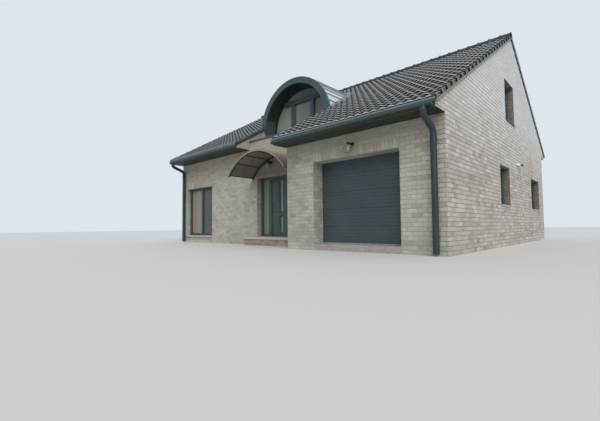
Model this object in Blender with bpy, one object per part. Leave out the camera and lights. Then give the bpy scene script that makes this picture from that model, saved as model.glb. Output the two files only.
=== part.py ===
"""A brick house of one storey and an attic, with a garage block that stands forward.

Metres, +Z up. The origin is on the ground, under the middle of the main block.
+X runs to the right along the front, and +Y runs from the front to the rear.
"""
import math

import bmesh
import bpy
from mathutils import Matrix

# Overall sizes
house_width = 12.57
main_depth = 10.0
garage_width = 4.57
garage_projection = 1.10
garage_room_depth = 6.0
balcony_width = 3.10
wall = 0.40
ridge_height = 6.866
pitch = math.radians(30.08)

# Roof, eaves and gutters
roof_deck = 0.105
tile_roll_height = 0.045
tile_cover = 0.3012
tile_roll_foot_share = 0.60
tile_roll_top_share = 0.24
verge_overhang = 0.04
main_overhang = 0.587
garage_overhang = 0.505
fascia_height = 0.09
eaves_board = 0.02
ridge_outer_radius = 0.15
ridge_inner_radius = 0.125
gutter_radius = 0.072
gutter_wall = 0.006
gutter_drop = 0.012
gutter_end_inset = 0.03
pipe_radius = 0.066
pipe_stand_off = 0.035
pipe_neck_drop = 0.34
pipe_outlet_length = 0.14
pipe_ground_clearance = 0.04
pipe_corner_distance = 0.215

# Floors and steps
house_floor_height = 0.30
garage_floor_height = 0.167
attic_thickness = 0.25
lintel_height = 0.315
step_depth = 0.42
step_height = 0.285
step_side = 0.28

# Garage doorway and its door
garage_opening_width = 2.549
garage_opening_inset = 1.028
garage_opening_head = 2.385
garage_door_lap = 0.09
garage_door_thickness = 0.045
garage_door_sections = 5
section_groove = 0.012

# Entrance
entrance_width = 1.595
entrance_inset = 1.075
entrance_head = 2.42
entrance_setback = 0.20
entrance_frame_depth = 0.08
entrance_jamb = 0.07
sidelight_width = 0.362
entrance_mullion = 0.133
door_thickness = 0.05
door_clearance = 0.008
hinge_radius = 0.012
hinge_plate_width = 0.045
hinge_plate_thickness = 0.004
hinge_plate_seat = 0.002
hinge_plate_clearance = 0.001
hinge_knuckle = 0.05
hinge_share = (0.10, 0.50, 0.88)
door_top_rail = 0.075
door_bottom_rail = 0.13
door_lock_rail = 0.14
door_lock_height = 0.78
door_glass_width = 0.178
pane_thickness = 0.008
pane_lap = 0.02
handle_radius = 0.012
handle_length = 0.30
handle_stand_off = 0.06
handle_edge_distance = 0.06
handle_height = 0.86

# Balcony and dormer
parapet_height = 3.85
dormer_inset = 0.05
dormer_shell = 0.20
dormer_springing = 4.34
dormer_setback = 0.772
dormer_tail = 0.15
dormer_fascia_thickness = 0.02
hood_depth = 0.50
glazing_depth = 0.08
glazing_rim = 0.06
glazing_mullion = 0.16
glazing_mullion_spacing = 0.98
glazing_transom_height = 5.32
glazing_transom = 0.16
glazing_sill = 0.10

# Entrance canopy
canopy_half_span = 1.39
canopy_rise = 0.69
canopy_foot_height = 2.42
canopy_wall_gap = 0.12
canopy_depth = 1.10
canopy_bar = 0.045
canopy_arch_height = 0.05
canopy_sheet = 0.010
canopy_sheet_overhang = 0.02
canopy_purlins = 5
canopy_purlin_drop = 0.002

# Windows
frame_depth = 0.07
frame_bar = 0.07
frame_setback = 0.17
front_window_setback = 0.14
front_window_inset = 0.41
front_window_width = 2.00
front_window_height = 2.10
front_window_sill = 0.30
sill_thickness = 0.076
sill_projection = 0.05
upper_window_centre = -0.495
upper_window_width = 1.15
upper_window_height = 1.30
upper_window_sill = 3.91
side_window_centre = -1.39
side_window_width = 1.12
side_window_height = 1.16
side_window_sill = 1.22
rear_side_window_centre = 3.30
rear_side_window_width = 1.60
rear_window_distance = 3.20
rear_window_width = 1.80
rear_window_height = 1.40
rear_window_sill = 1.00

# Outside lamps
lamp_plate_radius = 0.05
lamp_plate_thickness = 0.03
lamp_holder_radius = 0.04
lamp_arm_radius = 0.018
lamp_reach = 0.16
lamp_globe_radius = 0.085
lamp_drop = 0.06
garage_lamp_distance = 2.28
garage_lamp_height = 2.66
entrance_lamp_drop = 0.21
entrance_lamp_offset = 0.38
flood_width = 0.20
flood_height = 0.15
flood_depth = 0.13
flood_position = 0.55
flood_centre_height = 2.62

# Clearances and cutting
gap = 0.0003
overrun = 0.10
arc_steps = 24
weld_distance = 0.00005
smooth_angle = math.radians(35)

# Places that follow from the sizes
left = -house_width / 2
right = house_width / 2
front = -main_depth / 2
rear = main_depth / 2
garage_front = front - garage_projection
garage_left = right - garage_width
recess_left = garage_left - balcony_width
recess_centre = (recess_left + garage_left) / 2
main_eave = front - main_overhang
garage_eave = garage_front - garage_overhang
rear_eave = rear + main_overhang
dormer_inner_radius = balcony_width / 2 - dormer_inset
dormer_outer_radius = dormer_inner_radius + dormer_shell
dormer_crown = dormer_springing + dormer_outer_radius
dormer_front = front + dormer_setback
dormer_back = dormer_tail - (ridge_height - dormer_crown) / math.tan(pitch)
glazing_front = dormer_front + hood_depth
glazing_back = glazing_front + glazing_depth
roof_thickness = roof_deck + tile_roll_height
entrance_right = garage_left - entrance_inset
entrance_left = entrance_right - entrance_width
garage_opening_right = right - garage_opening_inset
garage_opening_left = garage_opening_right - garage_opening_width
attic_underside = garage_opening_head + lintel_height
attic_height = attic_underside + attic_thickness
canopy_centre = garage_left - canopy_wall_gap - canopy_half_span


def roof_line(y):
    """Height of the roof's underside over a place between front and rear."""
    return ridge_height - math.tan(pitch) * abs(y)


main_soffit = roof_line(main_eave) - fascia_height
garage_soffit = roof_line(garage_eave) - fascia_height

for item in list(bpy.data.objects):
    bpy.data.objects.remove(item)

house = bpy.data.collections.new("detached_house")
cutters = bpy.data.collections.new("cutters")
bpy.context.scene.collection.children.link(house)
bpy.context.scene.collection.children.link(cutters)


def material(name, colour, roughness, metallic=0.0, alpha=1.0):
    """A plain material from a colour, a roughness and a metallic value."""
    made = bpy.data.materials.new(name)
    made.use_nodes = True
    shader = made.node_tree.nodes["Principled BSDF"]
    shader.inputs["Base Color"].default_value = (*colour, 1.0)
    shader.inputs["Roughness"].default_value = roughness
    shader.inputs["Metallic"].default_value = metallic
    shader.inputs["Alpha"].default_value = alpha
    return made


brick = material("pale_brick", (0.50, 0.46, 0.40), 0.9)
stone = material("sill_stone", (0.60, 0.57, 0.52), 0.8)
concrete = material("floor_concrete", (0.42, 0.41, 0.39), 0.9)
tile = material("glazed_roof_tile", (0.035, 0.038, 0.045), 0.35)
trim = material("dark_trim", (0.045, 0.065, 0.080), 0.45)
zinc = material("zinc_sheet", (0.50, 0.52, 0.54), 0.4, 0.7)
door_steel = material("dark_door_steel", (0.040, 0.055, 0.070), 0.5)
glass = material("window_glass", (0.30, 0.34, 0.36), 0.05, 0.0, 0.5)
bronze_sheet = material("bronze_canopy_sheet", (0.10, 0.065, 0.055), 0.2)
globe_glass = material("lamp_globe_glass", (0.80, 0.82, 0.84), 0.05, 0.0, 0.6)
bright_metal = material("brushed_metal", (0.60, 0.60, 0.58), 0.35, 1.0)
white_paint = material("white_paint", (0.80, 0.80, 0.78), 0.4)


def place(thing, group=house):
    """Put an object into one collection only."""
    for owner in list(thing.users_collection):
        owner.objects.unlink(thing)
    group.objects.link(thing)
    return thing


def box(name, look, x_range, y_range, z_range, group=house):
    """A box between three pairs of places."""
    spans = [high - low for low, high in (x_range, y_range, z_range)]
    middle = [(high + low) / 2 for low, high in (x_range, y_range, z_range)]
    bpy.ops.mesh.primitive_cube_add(size=1, location=middle)
    made = bpy.context.object
    made.data.transform(Matrix.Diagonal((*spans, 1)))
    made.name = name
    made.data.materials.append(look)
    return place(made, group)


def cylinder(name, look, radius, start, length, turn, sides, group=house):
    """A cylinder from a start point along the turned Z axis."""
    bpy.ops.mesh.primitive_cylinder_add(vertices=sides, radius=radius, depth=length)
    made = bpy.context.object
    made.data.transform(Matrix.Translation((0, 0, length / 2)))
    made.rotation_euler = turn
    made.location = start
    made.name = name
    made.data.materials.append(look)
    return place(made, group)


# Turns that lay an outline's own X and Y along two of the house's axes
PLAN = (0, 0, 0)
FACING_FRONT = (math.pi / 2, 0, 0)
FACING_SIDE = (math.pi / 2, 0, math.pi / 2)


def outline(name, look, loops, turn, location, thickness, group=house):
    """A flat outline with holes, given its thickness about its own plane."""
    curve = bpy.data.curves.new(name, "CURVE")
    curve.dimensions = "2D"
    curve.fill_mode = "BOTH"
    curve.extrude = thickness / 2
    for loop in loops:
        spline = curve.splines.new("POLY")
        spline.points.add(len(loop) - 1)
        for point, (u, v) in zip(spline.points, loop):
            point.co = (u, v, 0, 1)
        spline.use_cyclic_u = True
    drawn = bpy.data.objects.new(name + "_curve", curve)
    house.objects.link(drawn)
    made = solid_from_curve(name, look, drawn, group)
    made.rotation_euler = turn
    made.location = location
    return made


def solid_from_curve(name, look, drawn, group=house):
    """Turn a curve into a closed mesh object."""
    graph = bpy.context.evaluated_depsgraph_get()
    mesh = bpy.data.meshes.new_from_object(drawn.evaluated_get(graph))
    shape = bmesh.new()
    shape.from_mesh(mesh)
    bmesh.ops.remove_doubles(shape, verts=shape.verts, dist=weld_distance)
    bmesh.ops.recalc_face_normals(shape, faces=shape.faces)
    shape.to_mesh(mesh)
    shape.free()
    bpy.data.objects.remove(drawn)
    made = bpy.data.objects.new(name, mesh)
    made.data.materials.clear()
    made.data.materials.append(look)
    group.objects.link(made)
    return made


def tube(name, look, points, radius):
    """A round pipe along a chain of points."""
    curve = bpy.data.curves.new(name, "CURVE")
    curve.dimensions = "3D"
    curve.bevel_depth = radius
    curve.bevel_resolution = 2
    curve.use_fill_caps = True
    spline = curve.splines.new("POLY")
    spline.points.add(len(points) - 1)
    for point, place_at in zip(spline.points, points):
        point.co = (*place_at, 1)
    drawn = bpy.data.objects.new(name + "_curve", curve)
    house.objects.link(drawn)
    made = solid_from_curve(name, look, drawn)
    smooth(made)
    return made


def arc(centre_u, centre_v, radius, start, end, steps=arc_steps):
    """Points along an arc, both ends included."""
    turns = [start + (end - start) * step / steps for step in range(steps + 1)]
    return [(centre_u + radius * math.cos(t), centre_v + radius * math.sin(t)) for t in turns]


def rectangle(u_range, v_range):
    """The corners of an upright rectangle."""
    (u0, u1), (v0, v1) = u_range, v_range
    return [(u0, v0), (u1, v0), (u1, v1), (u0, v1)]


def combine(target, tool, operation):
    """Cut a tool from a piece, or join it on, with a Boolean."""
    change = target.modifiers.new(operation.lower(), "BOOLEAN")
    change.operation = operation
    change.solver = "EXACT"
    change.object = tool
    tool.hide_render = True
    tool.display_type = "WIRE"


def smooth(thing):
    """Shade a round piece smooth between its sharp edges."""
    thing.data.shade_smooth()
    thing.data.set_sharp_from_angle(angle=smooth_angle)


def opening(target, x_range, y_range, z_range):
    """Cut a straight opening through a wall."""
    cutter = box(target.name + "_opening", brick, x_range, y_range, z_range, cutters)
    combine(target, cutter, "DIFFERENCE")


def around(centre, width):
    """The two ends of a width about its centre."""
    return (centre - width / 2, centre + width / 2)


# The half round that the dormer takes out of the roof and the walls under it
def dormer_cutter():
    reach = dormer_outer_radius + gap
    base = dormer_springing - gap
    loop = [(recess_centre + reach, base)] + arc(recess_centre, dormer_springing, reach, 0, math.pi)
    loop.append((recess_centre - reach, base))
    y_range = (dormer_front - dormer_fascia_thickness - 2 * gap, dormer_back + gap)
    depth = y_range[1] - y_range[0]
    return outline("dormer_cutter", zinc, [loop], FACING_FRONT, (0, sum(y_range) / 2, 0), depth, cutters)


dormer_hole = dormer_cutter()


# Walls
def gable_loop(front_wall, front_eave, front_soffit):
    """The outline of a gable with its brick kneelers at both eaves."""
    return [
        (front_wall, 0),
        (rear, 0),
        (rear, main_soffit),
        (rear_eave, main_soffit),
        (rear_eave, roof_line(rear_eave)),
        (0, ridge_height),
        (front_eave, roof_line(front_eave)),
        (front_eave, front_soffit),
        (front_wall, front_soffit),
    ]


def side_window_hole(centre, width, sill, height):
    return rectangle(around(centre, width), (sill, sill + height))


upper_window = (upper_window_centre, upper_window_width, upper_window_sill, upper_window_height)
front_window_of_side = (side_window_centre, side_window_width, side_window_sill, side_window_height)
rear_window_of_side = (
    rear_side_window_centre,
    rear_side_window_width,
    side_window_sill,
    side_window_height,
)
right_windows = {
    "upper_side_window": upper_window,
    "front_side_window": front_window_of_side,
    "rear_side_window": rear_window_of_side,
}
left_windows = {"left_attic_window": upper_window}
right_gable_loop = gable_loop(garage_front, garage_eave, garage_soffit)
left_gable_loop = gable_loop(front, main_eave, main_soffit)

for name, windows, loop, middle in (
    ("right_gable_wall", right_windows, right_gable_loop, right - wall / 2),
    ("left_gable_wall", left_windows, left_gable_loop, left + wall / 2),
):
    holes = [side_window_hole(*window) for window in windows.values()]
    outline(name, brick, [loop] + holes, FACING_SIDE, (middle, 0, 0), wall)


def long_wall(name, x_range, outer, inner):
    """A wall along the house whose top follows the roof."""
    loop = [(outer, 0), (inner, 0), (inner, roof_line(inner)), (outer, roof_line(outer))]
    middle = sum(x_range) / 2
    return outline(name, brick, [loop], FACING_SIDE, (middle, 0, 0), x_range[1] - x_range[0])


between_gables = (left + wall + gap, right - wall - gap)
rear_wall = long_wall("rear_wall", between_gables, rear, rear - wall)
left_front_wall = long_wall(
    "left_front_wall", (left + wall + gap, recess_left - wall - gap), front, front + wall
)
garage_front_wall = long_wall(
    "garage_front_wall", (garage_left + wall + gap, right - wall - gap), garage_front, garage_front + wall
)


def cheek_loop(wall_front, eave, soffit):
    """A wall beside the balcony: deep above the attic floor, one wall deep below it."""
    return [
        (wall_front, 0),
        (front + wall, 0),
        (front + wall, attic_height + gap),
        (glazing_back, attic_height + gap),
        (glazing_back, roof_line(glazing_back)),
        (eave, roof_line(eave)),
        (eave, soffit),
        (wall_front, soffit),
    ]


garage_side_wall = outline(
    "garage_side_wall",
    brick,
    [cheek_loop(garage_front, garage_front, garage_soffit)],
    FACING_SIDE,
    (garage_left + wall / 2, 0, 0),
    wall,
)
balcony_cheek_wall = outline(
    "balcony_cheek_wall",
    brick,
    [cheek_loop(front, main_eave, main_soffit)],
    FACING_SIDE,
    (recess_left - wall / 2, 0, 0),
    wall,
)
combine(garage_side_wall, dormer_hole, "DIFFERENCE")
combine(balcony_cheek_wall, dormer_hole, "DIFFERENCE")

front_band = (front, front + wall)
pier_heights = (0, entrance_head - gap)
parapet_x = (recess_left + gap, garage_left - gap)
box("entrance_left_wall", brick, (parapet_x[0], entrance_left), front_band, pier_heights)
box("entrance_right_wall", brick, (entrance_right, parapet_x[1]), front_band, pier_heights)
box("balcony_parapet", brick, parapet_x, front_band, (entrance_head, parapet_height))

opening(
    garage_front_wall,
    (garage_opening_left, garage_opening_right),
    (garage_front - overrun, garage_front + wall + overrun),
    (-overrun, garage_opening_head),
)
front_window_left = left + front_window_inset
front_window_x = (front_window_left, front_window_left + front_window_width)
opening(
    left_front_wall,
    front_window_x,
    (front - overrun, front + wall + overrun),
    (front_window_sill - sill_thickness, front_window_sill + front_window_height),
)
rear_window_centres = {"rear_left_window": -rear_window_distance, "rear_right_window": rear_window_distance}
for centre in rear_window_centres.values():
    opening(
        rear_wall,
        around(centre, rear_window_width),
        (rear - wall - overrun, rear + overrun),
        (rear_window_sill, rear_window_sill + rear_window_height),
    )


# Floors
inner_left = left + wall + gap
inner_right = right - wall - gap
inner_front = front + wall + gap
inner_rear = rear - wall - gap
garage_inner_left = garage_left + wall + gap
garage_inner_front = garage_front + wall + gap
garage_inner_rear = garage_front + wall + garage_room_depth

house_floor_loop = [
    (inner_left, inner_front),
    (entrance_left + gap, inner_front),
    (entrance_left + gap, front),
    (entrance_right - gap, front),
    (entrance_right - gap, inner_front),
    (garage_inner_left - gap, inner_front),
    (garage_inner_left - gap, garage_inner_rear + gap),
    (inner_right, garage_inner_rear + gap),
    (inner_right, inner_rear),
    (inner_left, inner_rear),
]
garage_floor_loop = [
    (garage_inner_left, garage_inner_front),
    (garage_opening_left + gap, garage_inner_front),
    (garage_opening_left + gap, garage_front),
    (garage_opening_right - gap, garage_front),
    (garage_opening_right - gap, garage_inner_front),
    (inner_right, garage_inner_front),
    (inner_right, garage_inner_rear),
    (garage_inner_left, garage_inner_rear),
]
attic_floor_loop = [
    (inner_left, inner_front),
    (garage_inner_left, inner_front),
    (garage_inner_left, garage_inner_front),
    (inner_right, garage_inner_front),
    (inner_right, inner_rear),
    (inner_left, inner_rear),
]
for name, loop, top, thickness in (
    ("house_floor", house_floor_loop, house_floor_height, house_floor_height),
    ("garage_floor", garage_floor_loop, garage_floor_height, garage_floor_height),
    ("attic_floor", attic_floor_loop, attic_height, attic_thickness),
):
    outline(name, concrete, [loop], PLAN, (0, 0, top - thickness / 2), thickness)

box(
    "entrance_step",
    stone,
    (entrance_left - step_side, garage_left - gap),
    (front - step_depth, front - gap),
    (0, step_height),
)


# Roof
slope = 1 / math.cos(pitch)
roof_left = left - verge_overhang
roof_right = right + verge_overhang
garage_verge = garage_left - verge_overhang
notch = dormer_front + roof_thickness


def tile_profile():
    """The roof's cross section: a flat deck with one roll for each column of tiles."""
    columns = round((roof_right - roof_left) / tile_cover)
    cover = (roof_right - roof_left) / columns
    foot = cover * tile_roll_foot_share / 2
    top = cover * tile_roll_top_share / 2
    loop = [(roof_left, 0), (roof_right, 0), (roof_right, roof_deck)]
    for column in reversed(range(columns)):
        middle = roof_left + cover * (column + 1 / 2)
        loop += [
            (middle + foot, roof_deck),
            (middle + top, roof_thickness),
            (middle - top, roof_thickness),
            (middle - foot, roof_deck),
        ]
    return loop + [(roof_left, roof_deck)]


def roof_slab(name, eave, side):
    """One roof slope: the cross section drawn out from the ridge to the eave. side is -1 at the front."""
    length = abs(eave) * slope
    made = outline(name, tile, [tile_profile()], FACING_FRONT, (0, 0, ridge_height + gap), length)
    made.data.transform(Matrix.Translation((0, 0, -side * length / 2)))
    made.rotation_euler = (math.pi / 2 - side * pitch, 0, 0)
    return made


def recess_cutter():
    """What the front slope lacks: the left eave's setback and the opening over the balcony."""
    far = garage_eave * slope - overrun
    loop = [
        (roof_left - overrun, far),
        (garage_verge, far),
        (garage_verge, notch * slope),
        (recess_left, notch * slope),
        (recess_left, main_eave * slope),
        (roof_left - overrun, main_eave * slope),
    ]
    depth = 2 * (roof_thickness + overrun)
    made = outline("recess_cutter", tile, [loop], PLAN, (0, 0, ridge_height), depth, cutters)
    made.rotation_euler = (pitch, 0, 0)
    return made


front_roof = roof_slab("front_roof", garage_eave, -1)
roof_slab("rear_roof", rear_eave, 1)
combine(front_roof, recess_cutter(), "DIFFERENCE")
combine(front_roof, dormer_hole, "DIFFERENCE")

roof_top = ridge_height + roof_thickness * slope + gap


def ridge_arc(radius, start, end):
    """An arc over the ridge whose feet lie on both slopes."""
    return arc(0, roof_top - math.tan(pitch) * radius + gap, radius, start, end, arc_steps // 2)


ridge = outline(
    "ridge_tiles",
    tile,
    [ridge_arc(ridge_outer_radius, 0, math.pi) + ridge_arc(ridge_inner_radius, math.pi, 0)],
    FACING_SIDE,
    (0, 0, 0),
    house_width + 2 * verge_overhang,
)
smooth(ridge)


# Eaves: the flat soffit board with the upright board behind the gutter
def eaves(name, x_range, wall_face, eave, soffit, side):
    inner_edge = wall_face + side * gap
    face = eave
    back = face - side * eaves_board
    top_face = roof_line(face)
    top_back = roof_line(back)
    loop = [
        (inner_edge, soffit),
        (face, soffit),
        (face, top_face),
        (back, top_back),
        (back, soffit + eaves_board),
        (inner_edge, soffit + eaves_board),
    ]
    return outline(name, trim, [loop], FACING_SIDE, (sum(x_range) / 2, 0, 0), x_range[1] - x_range[0])


main_eaves_x = (left + wall + gap, recess_left - wall - gap)
garage_eaves_x = (garage_verge, right - wall - gap)
eaves("garage_eaves", garage_eaves_x, garage_front, garage_eave, garage_soffit, -1)
eaves("left_eaves", main_eaves_x, front, main_eave, main_soffit, -1)
eaves("rear_eaves", between_gables, rear, rear_eave, main_soffit, 1)


# Gutters and downpipes
def gutter(name, x_range, eave, side):
    """A half round gutter with closed ends against the eaves board."""
    top = roof_line(eave) - gutter_drop
    centre = eave + side * (gutter_radius + gap)
    middle = sum(x_range) / 2
    length = x_range[1] - x_range[0]
    outer = arc(centre, top, gutter_radius, math.pi, 2 * math.pi, arc_steps // 2)
    bore = gutter_radius - gutter_wall
    hollow = [(centre - bore, top + overrun)] + arc(centre, top, bore, math.pi, 2 * math.pi, arc_steps // 2)
    hollow.append((centre + bore, top + overrun))
    made = outline(name, trim, [outer], FACING_SIDE, (middle, 0, 0), length)
    inside = outline(
        name + "_bore", trim, [hollow], FACING_SIDE, (middle, 0, 0), length - 2 * gutter_wall, cutters
    )
    combine(made, inside, "DIFFERENCE")
    smooth(made)
    return centre, top - gutter_radius


def downpipe(name, x, gutter_y, gutter_underside, wall_face, side):
    """A pipe with a swan neck from the gutter back to the wall and down."""
    wall_y = wall_face + side * (pipe_radius + pipe_stand_off)
    points = [
        (x, gutter_y, gutter_underside - gap),
        (x, gutter_y, gutter_underside - pipe_outlet_length),
        (x, wall_y, gutter_underside - pipe_neck_drop),
        (x, wall_y, pipe_ground_clearance),
    ]
    tube(name, trim, points, pipe_radius)


garage_gutter_x = (garage_verge, right - gutter_end_inset)
left_gutter_x = (left + gutter_end_inset, recess_left)
rear_gutter_x = (left + gutter_end_inset, right - gutter_end_inset)
garage_run = gutter("garage_gutter", garage_gutter_x, garage_eave, -1)
left_run = gutter("left_gutter", left_gutter_x, main_eave, -1)
rear_run = gutter("rear_gutter", rear_gutter_x, rear_eave, 1)
downpipe("garage_downpipe", right - pipe_corner_distance, *garage_run, garage_front, -1)
downpipe("left_downpipe", left + gutter_end_inset + pipe_corner_distance, *left_run, front, -1)
downpipe("rear_downpipe", left + gutter_end_inset + pipe_corner_distance, *rear_run, rear, 1)


# Dormer
def arch_ring(inner, outer):
    """A half ring over the balcony."""
    return arc(recess_centre, dormer_springing, outer, 0, math.pi) + arc(
        recess_centre, dormer_springing, inner, math.pi, 0
    )


dormer_roof = outline(
    "dormer_roof",
    zinc,
    [arch_ring(dormer_inner_radius, dormer_outer_radius)],
    FACING_FRONT,
    (0, (dormer_front + dormer_back) / 2, 0),
    dormer_back - dormer_front,
)
smooth(dormer_roof)
dormer_fascia = outline(
    "dormer_fascia",
    trim,
    [arch_ring(dormer_inner_radius, dormer_outer_radius)],
    FACING_FRONT,
    (0, dormer_front - gap - dormer_fascia_thickness / 2, 0),
    dormer_fascia_thickness,
)
smooth(dormer_fascia)


def arch_pane(x_low, x_high, z_low, z_high, radius):
    """A pane bounded by two uprights, a foot, and a head or the arch, whichever is lower."""
    def head(x):
        rise = math.sqrt(max(radius**2 - (x - recess_centre) ** 2, 0))
        return min(z_high, dormer_springing + rise)

    low, high = max(x_low, recess_centre - radius), min(x_high, recess_centre + radius)
    steps = arc_steps // 2
    marks = {low + (high - low) * step / steps for step in range(steps + 1)}
    if z_high < dormer_springing + radius:
        shoulder = math.sqrt(radius**2 - (z_high - dormer_springing) ** 2)
        marks |= {x for x in (recess_centre - shoulder, recess_centre + shoulder) if low < x < high}
    top = [(x, head(x)) for x in sorted(marks, reverse=True)]
    tidy = [top[0]]
    for before, here, after in zip(top, top[1:], top[2:]):
        if not (before[1] == here[1] == after[1]):
            tidy.append(here)
    tidy.append(top[-1])
    feet = [(low, z_low), (high, z_low)]
    return feet + [point for point in tidy if point[1] > z_low]


def dormer_glazing():
    """The glazed screen at the back of the balcony and its sheet of glass."""
    half = balcony_width / 2 - gap
    reach = dormer_inner_radius - gap
    shoulder = dormer_springing - gap
    rim = [(recess_centre - half, attic_height + gap), (recess_centre + half, attic_height + gap)]
    rim += [(recess_centre + half, shoulder)] + arc(recess_centre, dormer_springing, reach, 0, math.pi)
    rim += [(recess_centre - half, shoulder)]
    clear = dormer_inner_radius - glazing_rim
    bay = glazing_mullion_spacing / 2
    inner_bar = glazing_mullion / 2
    foot = attic_height + glazing_sill
    transom_top = glazing_transom_height + glazing_transom
    half_head = math.sqrt(clear**2 - (transom_top - dormer_springing) ** 2)
    panes = (
        (-clear, -bay - inner_bar, foot, glazing_transom_height),
        (-bay + inner_bar, bay - inner_bar, foot, glazing_transom_height),
        (bay + inner_bar, clear, foot, glazing_transom_height),
        (-half_head, half_head, transom_top, dormer_springing + clear),
    )
    loops = [rim]
    for low, high, pane_foot, pane_head in panes:
        loops.append(arch_pane(recess_centre + low, recess_centre + high, pane_foot, pane_head, clear))
    middle = glazing_front + glazing_depth / 2
    outline("dormer_window_frame", trim, loops, FACING_FRONT, (0, middle, 0), glazing_depth)
    sheet_edge = clear + pane_lap
    sheet = [(recess_centre - sheet_edge, foot - pane_lap), (recess_centre + sheet_edge, foot - pane_lap)]
    sheet += arc(recess_centre, dormer_springing, sheet_edge, 0, math.pi)
    back = glazing_back + gap + pane_thickness / 2
    outline("dormer_window_glass", glass, [sheet], FACING_FRONT, (0, back, 0), pane_thickness)


dormer_glazing()


# Entrance canopy: two arches joined by purlins, with one curved sheet over them
def canopy():
    radius = (canopy_half_span**2 + canopy_rise**2) / (2 * canopy_rise)
    centre_z = canopy_foot_height + canopy_rise - radius
    reach = math.asin(canopy_half_span / radius)
    start = math.pi / 2 - reach
    end = math.pi / 2 + reach

    def band(inner, outer):
        over = arc(canopy_centre, centre_z, outer, start, end)
        return over + arc(canopy_centre, centre_z, inner, end, start)

    def arch(name, y, group=house):
        loop = band(radius - canopy_arch_height, radius)
        return outline(name, trim, [loop], FACING_FRONT, (0, y, 0), canopy_bar, group)

    front_y = front - canopy_depth
    back_y = front - gap
    front_arch = arch("canopy_frame", front_y + canopy_bar / 2)
    combine(front_arch, arch("canopy_rear_arch", back_y - canopy_bar / 2, cutters), "UNION")
    inset = canopy_bar / 2 / radius
    middle = radius - canopy_arch_height / 2
    for step in range(canopy_purlins):
        turn = start + inset + (end - start - 2 * inset) * step / (canopy_purlins - 1)
        purlin = box(
            "canopy_purlin",
            trim,
            around(0, canopy_bar),
            (front_y + canopy_bar / 2, back_y - canopy_bar / 2),
            around(0, canopy_arch_height - 2 * canopy_purlin_drop),
            cutters,
        )
        purlin.location.x = canopy_centre + middle * math.cos(turn)
        purlin.location.z = centre_z + middle * math.sin(turn)
        purlin.rotation_euler = (0, math.pi / 2 - turn, 0)
        combine(front_arch, purlin, "UNION")
    sheet_low = radius + gap
    sheet = outline(
        "canopy_sheet",
        bronze_sheet,
        [band(sheet_low, sheet_low + canopy_sheet)],
        FACING_FRONT,
        (0, (front_y - canopy_sheet_overhang + back_y) / 2, 0),
        back_y - front_y + canopy_sheet_overhang,
    )
    smooth(sheet)


canopy()


# Entrance door in its frame
def hinge_half(carrier, x, y, face, foot, side):
    """One knuckle and its plate, joined to the frame (side +1) or to the leaf (side -1)."""
    knuckle = cylinder(
        carrier.name + "_knuckle", trim, hinge_radius, (x, y, foot), hinge_knuckle, PLAN, arc_steps, cutters
    )
    plate = box(
        carrier.name + "_hinge_plate",
        trim,
        sorted((x, x + side * hinge_plate_width)),
        (face - hinge_plate_seat, face + hinge_plate_thickness),
        (foot, foot + hinge_knuckle),
        cutters,
    )
    combine(carrier, plate, "UNION")
    combine(carrier, knuckle, "UNION")


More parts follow.
